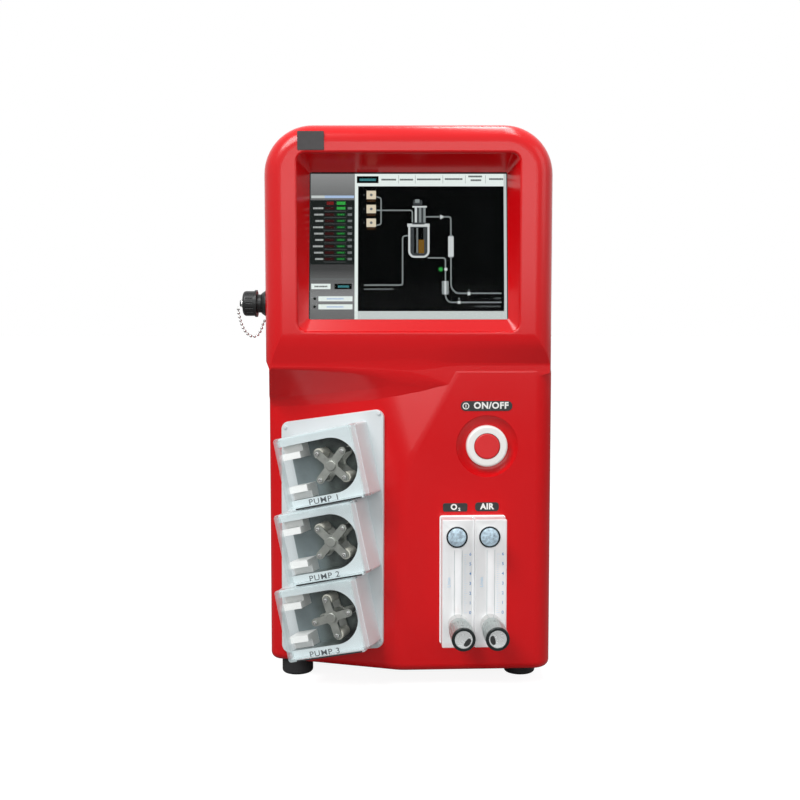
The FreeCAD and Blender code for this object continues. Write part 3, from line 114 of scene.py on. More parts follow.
def right_facet(x, z):
    return face_frame(x, SETBACK + RIGHT_SLOPE * (x - FOLD_X), z, -RIGHT_YAW)


def pump_frame(number):
    return left_facet(PUMP_X, PUMP_TOP_Z - PUMP_PITCH * number, PUMP_ROLL)


def meter_frame(number):
    return right_facet(METER_X[number], METER_Z)


SCREEN = face_frame(0, SCREEN_Y, SCREEN_Z, 0.0, SCREEN_LEAN)
FRONT = face_frame(0, 0, 0)
SIDE = face_frame(CONNECTOR_X, CONNECTOR_Y, CONNECTOR_Z, 90.0)

# ---- Materials --------------------------------------------------------------------------------------------


def srgb(r, g, b):
    return tuple(((c / 255 + 0.055) / 1.055) ** 2.4 if c > 10 else c / 3294.6 for c in (r, g, b))


def shade(colour, factor):
    return tuple(min(1.0, c * factor) for c in colour) + (1.0,)


class Nodes:
    """Short forms for the nodes of one tree, which starts out empty."""

    def __init__(self, owner):
        owner.use_nodes = True
        self.nodes, self.links = owner.node_tree.nodes, owner.node_tree.links
        self.nodes.clear()

    def ramp(self, value, stops):
        ramp = self.nodes.new("ShaderNodeValToRGB")
        elements = ramp.color_ramp.elements
        while len(elements) < len(stops):
            elements.new(0.5)
        for element, (at, colour) in zip(elements, stops):
            element.position = at
            element.color = colour
        self.links.new(value, ramp.inputs["Fac"])
        return ramp.outputs["Color"]

    def span(self, value, low, high, start=0.3, end=0.7):
        node = self.nodes.new("ShaderNodeMapRange")
        node.inputs["From Min"].default_value = start
        node.inputs["From Max"].default_value = end
        node.inputs["To Min"].default_value = low
        node.inputs["To Max"].default_value = high
        self.links.new(value, node.inputs["Value"])
        return node.outputs["Result"]

    def bump(self, height, strength, distance):
        node = self.nodes.new("ShaderNodeBump")
        node.inputs["Strength"].default_value = strength
        node.inputs["Distance"].default_value = distance
        self.links.new(height, node.inputs["Height"])
        return node.outputs["Normal"]

    def dot(self, vector, along):
        node = self.nodes.new("ShaderNodeVectorMath")
        node.operation = "DOT_PRODUCT"
        node.inputs[1].default_value = along
        self.links.new(vector, node.inputs[0])
        return node.outputs["Value"]

    def math(self, operation, first, second=None, clamp=False):
        node = self.nodes.new("ShaderNodeMath")
        node.operation = operation
        node.use_clamp = clamp
        self.links.new(first, node.inputs[0])
        if isinstance(second, (int, float)):
            node.inputs[1].default_value = second
        elif second is not None:
            self.links.new(second, node.inputs[1])
        return node.outputs["Value"]

    def blend(self, share, first, second):
        node = self.nodes.new("ShaderNodeMix")
        node.data_type = "RGBA"
        self.links.new(share, node.inputs["Factor"])
        self.links.new(first, node.inputs["A"])
        self.links.new(second, node.inputs["B"])
        return node.outputs["Result"]

    def principled(self, **values):
        shader = self.nodes.new("ShaderNodeBsdfPrincipled")
        for key, value in values.items():
            shader.inputs[key.replace("_", " ")].default_value = value
        return shader


class Builder(Nodes):
    """A material whose colour, roughness and surface vary by noise."""

    def __init__(self, name):
        self.mat = bpy.data.materials.new(name)
        super().__init__(self.mat)
        self.out = self.nodes.new("ShaderNodeOutputMaterial")
        self.coord = self.nodes.new("ShaderNodeTexCoord")

    def noise(self, scale, detail=3.0, stretch=(1, 1, 1)):
        mapping = self.nodes.new("ShaderNodeMapping")
        mapping.inputs["Scale"].default_value = stretch
        self.links.new(self.coord.outputs["Object"], mapping.inputs["Vector"])
        noise = self.nodes.new("ShaderNodeTexNoise")
        noise.inputs["Scale"].default_value = scale
        noise.inputs["Detail"].default_value = detail
        self.links.new(mapping.outputs["Vector"], noise.inputs["Vector"])
        return noise.outputs["Fac"]


# The cosine to a clear piece's outward direction, below which a wall is a side wall and above which a front face
EDGE_ON, FACE_ON = 0.35, 0.9


def surface(name, colour, roughness, metallic=0.0, coat=0.0, mottle=0.05, mottle_scale=22.0, rough_spread=0.05,
            grain=0.15, grain_scale=900.0, grain_depth=0.00005, stretch=(1, 1, 1), specular=0.5):
    b = Builder(name)
    shader = b.principled(Metallic=metallic, Coat_Weight=coat, Coat_Roughness=0.05, Specular_IOR_Level=specular)
    clouds = b.noise(mottle_scale, 4.0, stretch)
    stops = [(0.3, shade(colour, 1 - mottle)), (0.7, shade(colour, 1 + mottle))]
    b.links.new(b.ramp(clouds, stops), shader.inputs["Base Color"])
    fine = b.noise(grain_scale, 2.0, stretch)
    wear = b.noise(mottle_scale * 3, 3.0, stretch)
    b.links.new(b.span(wear, roughness - rough_spread, roughness + rough_spread), shader.inputs["Roughness"])
    b.links.new(b.bump(fine, grain, grain_depth), shader.inputs["Normal"])
    b.links.new(shader.outputs["BSDF"], b.out.inputs["Surface"])
    return b.mat


def clear(name, tint, milk, face_milk, edge_milk_and_sheen, roughness, outward, ior):
    """Clear plastic: outward is the way its front face points, face_milk and edge_milk_and_sheen are how white it is
    there and on its side walls; side walls whiter than the front face are a painted sheen. It casts no milky shadow,
    and its inner sides don't reflect."""
    b = Builder(name)
    body = b.principled(Roughness=0.3, Specular_IOR_Level=0.4)
    clouds = b.noise(40.0, 3.0)
    b.links.new(b.ramp(clouds, [(0.3, shade(milk, 0.96)), (0.7, shade(milk, 1.03))]), body.inputs["Base Color"])
    through = b.nodes.new("ShaderNodeBsdfTransparent")
    through.inputs["Color"].default_value = tint + (1.0,)
    geometry = b.nodes.new("ShaderNodeNewGeometry")
    flat_normal = geometry.outputs["True Normal"]
    own = b.nodes.new("ShaderNodeVectorTransform")
    own.vector_type = "NORMAL"
    own.convert_from, own.convert_to = "WORLD", "OBJECT"
    b.links.new(flat_normal, own.inputs["Vector"])
    facing = b.math("ABSOLUTE", b.dot(own.outputs["Vector"], outward))
    # The milk runs from the side walls' value to the front face's; side walls whiter than the front are painted sheen.
    amount = b.span(facing, edge_milk_and_sheen, face_milk, EDGE_ON, FACE_ON)
    in_shadow = b.nodes.new("ShaderNodeLightPath").outputs["Is Shadow Ray"]
    milky = b.nodes.new("ShaderNodeMixShader")
    b.links.new(b.math("SUBTRACT", amount, in_shadow, clamp=True), milky.inputs["Fac"])
    b.links.new(through.outputs["BSDF"], milky.inputs[1])
    b.links.new(body.outputs["BSDF"], milky.inputs[2])
    gloss = b.nodes.new("ShaderNodeBsdfGlossy")
    b.links.new(b.span(b.noise(60.0, 3.0), roughness * 0.7, roughness * 1.3), gloss.inputs["Roughness"])
    fresnel = b.nodes.new("ShaderNodeFresnel")
    fresnel.inputs["IOR"].default_value = ior
    for node in (body, gloss, fresnel):
        b.links.new(flat_normal, node.inputs["Normal"])
    dull = b.math("MAXIMUM", in_shadow, geometry.outputs["Backfacing"])
    mix = b.nodes.new("ShaderNodeMixShader")
    b.links.new(b.math("SUBTRACT", fresnel.outputs["Fac"], dull, clamp=True), mix.inputs["Fac"])
    b.links.new(milky.outputs["Shader"], mix.inputs[1])
    b.links.new(gloss.outputs["BSDF"], mix.inputs[2])
    b.links.new(mix.outputs["Shader"], b.out.inputs["Surface"])
    return b.mat


def glowing(name, colour, strength=1.0, spread=0.06, across=None):
    """A lit patch of the display, with a fine dot pattern; across gives a second colour lower down."""
    b = Builder(name)
    glow = b.nodes.new("ShaderNodeEmission")
    glow.inputs["Strength"].default_value = strength
    dots = b.noise(2600.0, 1.0)
    first = b.ramp(dots, [(0.35, shade(colour, 1 - spread)), (0.65, shade(colour, 1 + spread))])
    if across:
        split = b.nodes.new("ShaderNodeSeparateXYZ")
        b.links.new(b.coord.outputs["Object"], split.inputs["Vector"])
        second = b.ramp(b.span(split.outputs["Z"], 0.0, 1.0, across[0], across[1]), across[2])
        mix = b.nodes.new("ShaderNodeMix")
        mix.data_type = "RGBA"
        mix.blend_type = "MULTIPLY"
        mix.inputs["Factor"].default_value = 1.0
        b.links.new(first, mix.inputs["A"])
        b.links.new(second, mix.inputs["B"])
        first = mix.outputs["Result"]
    b.links.new(first, glow.inputs["Color"])
    b.links.new(glow.outputs["Emission"], b.out.inputs["Surface"])
    return b.mat


LEFT_OUT, RIGHT_OUT, SCREEN_OUT = (
    tuple(face.to_3x3().col[2].normalized()) for face in (pump_frame(0), meter_frame(0), SCREEN)
)
RED = srgb(206, 8, 16)
M = {
    "red": surface("red_gloss", RED, 0.22, specular=0.38, mottle=0.02, mottle_scale=9.0, rough_spread=0.015,
                   grain=0.06, grain_scale=260.0, grain_depth=0.00006),
    "red_sheet": surface("red_paint", RED, 0.26, specular=0.38, mottle=0.015, mottle_scale=9.0, rough_spread=0.012,
                         grain=0.06, grain_scale=420.0, grain_depth=0.00008),
    "red_cap": surface("red_button_plastic", srgb(214, 30, 34), 0.38, coat=0.1, mottle=0.03, grain=0.1),
    "steel": surface("satin_steel", srgb(176, 178, 180), 0.38, metallic=0.9, mottle=0.05, stretch=(1, 1, 14),
                     grain_scale=500.0),
    "screw": surface("screw_steel", srgb(190, 190, 190), 0.3, metallic=0.95, mottle=0.08, mottle_scale=300.0),
    "bright": surface("bright_steel", srgb(214, 214, 212), 0.2, metallic=1.0, mottle=0.05, mottle_scale=150.0),
    "rotor": surface("rotor_steel", srgb(166, 168, 162), 0.36, metallic=0.8, mottle=0.14, mottle_scale=120.0,
                     grain_scale=1500.0),
    "rubber": surface("black_rubber", srgb(28, 28, 30), 0.75, mottle=0.15, grain=0.4, grain_scale=1600.0,
                      grain_depth=0.0001),
    "black": surface("black_anodised", srgb(40, 42, 42), 0.36, metallic=0.35, mottle=0.10, mottle_scale=80.0,
                     grain_scale=1400.0),
    "dark": surface("dark_moulding", srgb(34, 34, 36), 0.5, mottle=0.08, grain=0.3, grain_scale=1800.0),
    "white": surface("white_plastic", srgb(238, 237, 234), 0.32, coat=0.15, mottle=0.02, grain=0.1),
    "clamp": surface("clamp_white", srgb(252, 252, 250), 0.35, coat=0.1, mottle=0.015, grain=0.1),
    "panel": surface("white_panel", srgb(210, 217, 219), 0.42, coat=0.1, mottle=0.02, mottle_scale=14.0, grain=0.2,
                     grain_scale=700.0),
    "scale": surface("white_scale_plate", srgb(248, 250, 250), 0.5, mottle=0.012, grain=0.1),
    "roller": surface("roller_plastic", srgb(214, 212, 200), 0.4, mottle=0.05, grain=0.2),
    "brass": surface("satin_brass", srgb(190, 158, 96), 0.32, metallic=1.0, mottle=0.07, mottle_scale=90.0),
    "board": surface("board_green", srgb(24, 92, 52), 0.5, mottle=0.1, grain=0.2),
    "motor": surface("motor_steel", srgb(120, 122, 124), 0.42, metallic=0.9, mottle=0.06),
    "ink": surface("print_grey", srgb(86, 92, 96), 0.6, mottle=0.12, mottle_scale=400.0, grain=0.1),
    "blue_ink": surface("print_blue", srgb(74, 122, 176), 0.6, mottle=0.12, mottle_scale=400.0, grain=0.1),
    "pale_blue_ink": surface("print_pale_blue", srgb(150, 186, 212), 0.6, mottle=0.12, mottle_scale=400.0, grain=0.1),
    # Grey lines for the rotameter bores' walls seen through the acrylic: painted refraction.
    "painted_refraction_grey": surface("tube_edge", srgb(150, 164, 166), 0.3, mottle=0.12, mottle_scale=60.0, grain=0.1),
    # The tube heads' chrome caps: the dark ring and the pale blue mottled face are painted reflections.
    "chrome_painted_dark_reflection": surface("chrome_painted_dark_reflection", srgb(58, 66, 70), 0.2, metallic=0.85, mottle=0.3, mottle_scale=120.0,
                           grain=0.1),
    "head_face_painted_reflection": surface("head_face_painted_reflection", srgb(184, 206, 224), 0.3, metallic=0.2, mottle=0.42, mottle_scale=320.0,
                         grain=0.2),
    "knob_face": surface("knob_face", srgb(228, 232, 232), 0.25, metallic=0.5, mottle=0.06, mottle_scale=120.0,
                         grain=0.1),
    "label": surface("label_black", srgb(34, 36, 36), 0.45, coat=0.1, mottle=0.12, mottle_scale=180.0, grain=0.2),
    "label_text": surface("label_white", srgb(236, 236, 232), 0.5, mottle=0.04, mottle_scale=300.0, grain=0.1),
    "name_plate": surface("name_plate_dark", srgb(30, 25, 27), 0.35, metallic=0.2, coat=0.1, mottle=0.2,
                          mottle_scale=160.0, grain=0.2),
    # The pump covers' side walls are painted far whiter than their front faces: a painted sheen.
    "clear": clear("clear_cover", (0.985, 0.99, 0.99), srgb(224, 235, 237), 0.004, 0.5, 0.06, LEFT_OUT, 1.25),
    "acrylic": clear("clear_acrylic", (0.99, 0.995, 1.0), srgb(252, 254, 255), 0.6, 0.6, 0.05, RIGHT_OUT, 1.3),
    "glass": clear("screen_glass", (0.99, 0.99, 0.99), srgb(60, 62, 64), 0.0, 0.0, 0.03, SCREEN_OUT, 1.1),
    "ball": surface("float_ball", srgb(120, 34, 36), 0.25, coat=0.3, mottle=0.05),
}


def local_axes(b, matrix):
    """A material's own right, up and outward distances in millimetres, on the face that the matrix describes."""
    rows = []
    for axis in matrix.inverted()[:3]:
        rows.append(b.math("ADD", b.dot(b.coord.outputs["Object"], tuple(axis[:3])), axis[3]))
    return rows


def pump_material(number):
    """Pale moulded head whose track, below the front face and inside the walls, is dark metal in painted shade,
    with a painted black shadow along the right part of the track wall.
    """
    b = Builder(f"pump_moulding_{number + 1}")
    right, up, out = local_axes(b, pump_frame(number))
    side = b.math("ABSOLUTE", up)
    deep = b.span(out, 1.0, 0.0, PUMP_FRONT - 1.6, PUMP_FRONT - 1.0)
    reach, fade = CAVITY_REACH, 0.2
    within = b.span(side, 1.0, 0.0, reach - fade, reach + fade)
    before = b.span(right, 1.0, 0.0, TRACK_X + reach - fade, TRACK_X + reach + fade)
    inside = b.math("MULTIPLY", within, before)
    inside = b.math("MULTIPLY", inside, b.span(right, 0.0, 1.0, CAVITY_LEFT - 0.15, CAVITY_LEFT + 0.15))
    mask = b.math("MULTIPLY", inside, deep)
    # Painted shadow: a black crescent from 17 to 24 mm out from the wheel's centre, on the track wall's right part.
    across = b.math("POWER", b.math("ABSOLUTE", b.math("SUBTRACT", right, TRACK_X)), 2.0)
    away = b.math("POWER", b.math("ADD", across, b.math("POWER", side, 2.0)), 0.5)
    ring = b.span(away, 0.0, 1.0, 17.0, 24.0)
    wall = b.math("MULTIPLY", ring, b.span(right, 0.0, 1.0, TRACK_X - 8.0, TRACK_X + 6.0))
    # The cavity's dark metal is partly painted shade: it gets darker from the smoke grey on the left towards the
    # right.
    pale, metal, smoke = srgb(217, 226, 228), srgb(88, 97, 94), srgb(128, 141, 144)
    clouds = b.noise(30.0, 4.0)
    outer = b.ramp(clouds, [(0.3, shade(pale, 0.96)), (0.7, shade(pale, 1.03))])
    shaded_metal = b.ramp(b.noise(120.0, 5.0), [(0.3, shade(metal, 0.7)), (0.7, shade(metal, 1.25))])
    calm = b.ramp(b.noise(70.0, 3.0), [(0.3, shade(smoke, 0.9)), (0.7, shade(smoke, 1.1))])
    inner = b.blend(b.span(right, 0.0, 1.0, -26.0, -8.0), calm, shaded_metal)
    # Black of the painted shadow along the track wall.
    black = b.ramp(clouds, [(0.3, (0.006, 0.007, 0.007, 1)), (0.7, (0.014, 0.015, 0.015, 1))])
    inner = b.blend(wall, inner, black)
    shader = b.principled(Coat_Weight=0.06)
    b.links.new(b.blend(mask, outer, inner), shader.inputs["Base Color"])
    b.links.new(b.span(clouds, 0.36, 0.48), shader.inputs["Roughness"])
    b.links.new(b.bump(b.noise(1100.0, 2.0), 0.15, 0.00006), shader.inputs["Normal"])
    b.links.new(shader.outputs["BSDF"], b.out.inputs["Surface"])
    return b.mat


def knob_material(gas, number):
    """Grey fluted knob with a dark polished rim round its face."""
    b = Builder(f"{gas}_knob_finish")
    out = local_axes(b, meter_frame(number))[2]
    grey, dark = srgb(158, 168, 166), srgb(26, 34, 34)
    body = b.ramp(b.noise(200.0, 4.0), [(0.3, shade(grey, 0.88)), (0.7, shade(grey, 1.1))])
    rim = b.ramp(b.noise(300.0, 3.0), [(0.3, shade(dark, 0.8)), (0.7, shade(dark, 1.2))])
    shader = b.principled(Metallic=0.35)
    at_rim = b.span(out, 0.0, 1.0, KNOB_END - 2.6, KNOB_END - 2.2)
    b.links.new(b.blend(at_rim, body, rim), shader.inputs["Base Color"])
    b.links.new(b.span(b.noise(90.0, 3.0), 0.26, 0.4), shader.inputs["Roughness"])
    b.links.new(b.bump(b.noise(1500.0, 2.0), 0.1, 0.00004), shader.inputs["Normal"])
    b.links.new(shader.outputs["BSDF"], b.out.inputs["Surface"])
    return b.mat


def dress(material, *nodes):
    for node in nodes:
        data = NODES[node].data
        data.materials.clear()
        data.materials.append(material)


dress(M["red"], "front_shell")
dress(M["red_sheet"], "wrap_cover")
dress(M["red_cap"], "button_cap")
dress(M["steel"], "base_plate", "rear_panel")
dress(M["screw"], "case_screws", "hinge_pins")
dress(M["rubber"], "foot_front_left", "foot_front_right", "foot_rear_left", "foot_rear_right", "display_gasket")
dress(M["glass"], "display_glass")
dress(M["dark"], "display_module", "button_switch", "power_inlet")
dress(M["white"], "button_ring", "button_nut")
dress(M["panel"], "pump_panel", "panel_screws")
dress(M["scale"], "scale_plate")
dress(M["bright"], "chain_washer", "cap_ring", "meter_fittings")
dress(M["black"], "connector_receptacle", "connector_nut", "connector_cap")
dress(M["brass"], "gas_inlets")
dress(M["board"], "control_board")
dress(M["motor"], "power_supply")
for i in range(PUMP_COUNT):
    pump = f"pump_{i + 1}"
    dress(pump_material(i), f"{pump}_body")
    dress(M["clear"], f"{pump}_cover")
    dress(M["clamp"], f"{pump}_clamps")
    dress(M["rotor"], f"{pump}_rotor")
    dress(M["motor"], f"{pump}_motor")
    dress(M["roller"], f"{pump}_roller_a", f"{pump}_roller_b")
for i, gas in enumerate(GASES):
    dress(M["acrylic"], f"{gas}_meter_block")
    dress(M["ball"], f"{gas}_meter_float")
    dress(M["bright"], f"{gas}_meter_valve")
    dress(knob_material(gas, i), f"{gas}_meter_knob")

# ---- Mesh helpers -----------------------------------------------------------------------------------------


def add_mesh(name, bm, matrix, materials, body):
    bm.transform(matrix)
    if matrix.determinant() < 0:
        bmesh.ops.reverse_faces(bm, faces=bm.faces)
    data = bpy.data.meshes.new(name)
    bm.to_mesh(data)
    bm.free()
    for material in materials:
        data.materials.append(material)
    obj = bpy.data.objects.new(name, data)
    bpy.context.scene.collection.objects.link(obj)
    if body:
        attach(obj, body)
    return obj


def polar(radius, angle, z=None):
    """A point at an angle in radians, flat or at a height."""
    flat = (radius * math.cos(angle), radius * math.sin(angle))
    return flat if z is None else flat + (z,)


def circle(radius, steps, z=None):
    return [polar(radius, 2 * math.pi * i / steps, z) for i in range(steps)]


def rounded_points(width, height, radius, x=0.0, y=0.0, steps=6):
    points = []
    for cx, cy, start in ((1, 1, 0), (-1, 1, 90), (-1, -1, 180), (1, -1, 270)):
        for i in range(steps + 1):
            dx, dy = polar(radius, math.radians(start + 90 * i / steps))
            points.append((x + cx * (width / 2 - radius) + dx, y + cy * (height / 2 - radius) + dy))
    return points


def strip(bm, x0, y0, x1, y1):
    """A flat rectangle at height 0."""
    bm.faces.new([bm.verts.new(c) for c in ((x0, y0, 0), (x1, y0, 0), (x1, y1, 0), (x0, y1, 0))])


def add_plate(name, matrix, points, low, high, edge, material, body):
    """A flat plate with a softened front edge."""
    bm = bmesh.new()
    face = bm.faces.new([bm.verts.new((x, y, low)) for x, y in points])
    if face.normal.z < 0:
        bmesh.ops.reverse_faces(bm, faces=[face])
    top = bmesh.ops.extrude_face_region(bm, geom=[face])
    verts = [v for v in top["geom"] if isinstance(v, bmesh.types.BMVert)]
    bmesh.ops.translate(bm, verts=verts, vec=(0, 0, high - low))
    bmesh.ops.recalc_face_normals(bm, faces=bm.faces)
    rim = [e for e in bm.edges if all(abs(v.co.z - high) < 1e-6 for v in e.verts) and len(e.link_faces) == 2]
    if edge:
        bmesh.ops.bevel(bm, geom=rim, offset=edge, segments=2, affect="EDGES", profile=0.6)
    return add_mesh(name, bm, matrix, [material], body)


def add_turned(name, matrix, profile, material, body, steps=48):
    """A solid turned about the face's outward axis from (radius, height) points."""
    bm = bmesh.new()
    rings = []
    for r, h in profile:
        if r < 1e-6:
            rings.append([bm.verts.new((0, 0, h))])
        else:
            rings.append([bm.verts.new(point) for point in circle(r, steps, h)])
    for a, b in zip(rings, rings[1:]):
        for i in range(steps):
            j = (i + 1) % steps
            corners = [a[i % len(a)], a[j % len(a)], b[j % len(b)], b[i % len(b)]]
            corners = [v for k, v in enumerate(corners) if v not in corners[:k]]
            if len(corners) > 2:
                bm.faces.new(corners)
    bmesh.ops.recalc_face_normals(bm, faces=bm.faces)
    for face in bm.faces:
        face.smooth = True
    obj = add_mesh(name, bm, matrix, [material], body)
    obj.data.set_sharp_from_angle(angle=math.radians(32))
    return obj


def add_text(name, matrix, text, size, x, y, z, material, body, bold=0.0, spacing=1.0, stretch=1.0):
    """Raised lettering, centred on its place."""
    data = bpy.data.curves.new(name, "FONT")
    data.body = text
    data.size = size
    data.align_x = "CENTER"
    data.align_y = "CENTER"
    data.offset = bold
    data.extrude = 0.04
    data.space_character = spacing
    data.resolution_u = 3
    data.materials.append(material)
    obj = bpy.data.objects.new(name, data)
    bpy.context.scene.collection.objects.link(obj)
    obj.matrix_world = matrix @ Matrix.Translation((x, y, z)) @ Matrix.Diagonal((stretch, 1, 1, 1))
    bpy.context.view_layer.update()
    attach(obj, body)
    return obj


# ---- Display picture --------------------------------------------------------------------------------------

COLUMN_GREYS = [(at, (grey, grey, grey, 1)) for at, grey in (
    (0.0, 0.42), (0.12, 0.62), (0.3, 0.16), (0.62, 0.06), (0.78, 0.4), (1.0, 0.8))]
GLOW = {
    "white": glowing("display_white", srgb(236, 246, 242), 0.92),
    "mint": glowing("display_mint", srgb(206, 214, 212), 0.88),
    "ice": glowing("display_ice", srgb(176, 200, 232), 0.9),
    "black": glowing("display_black", srgb(5, 6, 6), 1.0),
    "teal": glowing("display_teal", srgb(70, 140, 146), 0.9),
    "column": glowing("display_column", srgb(170, 172, 172), 0.9, 0.05, (0.405, 0.562, COLUMN_GREYS)),
    "table": glowing("display_table", srgb(30, 34, 33), 1.0),
    "line": glowing("display_line", srgb(120, 126, 126), 0.8),
    "pipe": glowing("display_pipe", srgb(142, 150, 150), 0.85),
    "pipe_light": glowing("display_pipe_light", srgb(214, 220, 220), 0.85),
    "vessel_dark": glowing("display_vessel_dark", srgb(66, 70, 72), 0.9),
    "amber": glowing("display_amber", srgb(120, 88, 34), 0.9),
    "beige": glowing("display_beige", srgb(226, 214, 190), 0.9),
    "brown": glowing("display_brown", srgb(58, 40, 26), 0.9),
    "red": glowing("display_red", srgb(120, 34, 34), 0.9),
    "dim_red": glowing("display_dim_red", srgb(56, 24, 24), 0.9),
    "green": glowing("display_green", srgb(54, 168, 70), 0.9),
    "dim_green": glowing("display_dim_green", srgb(26, 74, 38), 0.9),
    "grey": glowing("display_grey", srgb(92, 98, 98), 0.8),
    "text": glowing("display_text", srgb(196, 202, 200), 0.8),
}
GLOW_ORDER = list(GLOW)
picture = bmesh.new()


def spot(fx, fy):
    """From shares of the screen's width and height, counted from its top left, to its own millimetres."""
    return (fx - 0.5) * SCREEN_WIDTH, (0.5 - fy) * SCREEN_HEIGHT


def fill(points, colour, level):
    z = PICTURE_DEPTH + PICTURE_LAYER * level
    face = picture.faces.new([picture.verts.new((x, y, z)) for x, y in points])
    face.material_index = GLOW_ORDER.index(colour)
    face.normal_update()
    if face.normal.z < 0:
        face.normal_flip()


def bar(x0, y0, x1, y1, colour, level=1):
    (a, b), (c, d) = spot(x0, y0), spot(x1, y1)
    fill([(a, d), (c, d), (c, b), (a, b)], colour, level)


def dot(x, y, radius, colour, level=3):
    cx, cy = spot(x, y)
    fill([(cx + dx, cy + dy) for dx, dy in circle(radius, 20)], colour, level)


def pipe(points, width, colour, bend=3.0, level=2):
    """A line of even width through the points, with rounded corners."""
    path = [Vector(spot(x, y)) for x, y in points]
    line = [path[0]]
    for before, corner, after in zip(path, path[1:], path[2:]):
        a, b = (before - corner), (after - corner)
        reach = min(bend, a.length * 0.45, b.length * 0.45)
        a, b = corner + a.normalized() * reach, corner + b.normalized() * reach
        for k in range(6):
            t = k / 5
            line.append(a * (1 - t) ** 2 + corner * 2 * t * (1 - t) + b * t * t)
    line.append(path[-1])
    left, right = [], []
    for k, point in enumerate(line):
        ahead = (line[min(k + 1, len(line) - 1)] - line[max(k - 1, 0)]).normalized()
        side = Vector((-ahead.y, ahead.x)) * width / 2
        left.append(point + side)
        right.append(point - side)
    for k in range(len(line) - 1):
        fill([tuple(left[k]), tuple(right[k]), tuple(right[k + 1]), tuple(left[k + 1])], colour, level)


def words(x0, x1, y, colour, level=3, height=0.008, gap=0.35):
    """A run of small marks the size of lettering, which spell nothing."""
    x, k = x0, 0
    while x < x1:
        wide = (0.006, 0.004, 0.007, 0.005, 0.003)[k % 5]
        bar(x, y - height / 2, min(x + wide, x1), y + height / 2, colour, level)
        x += wide * (1 + gap)
        k += 1


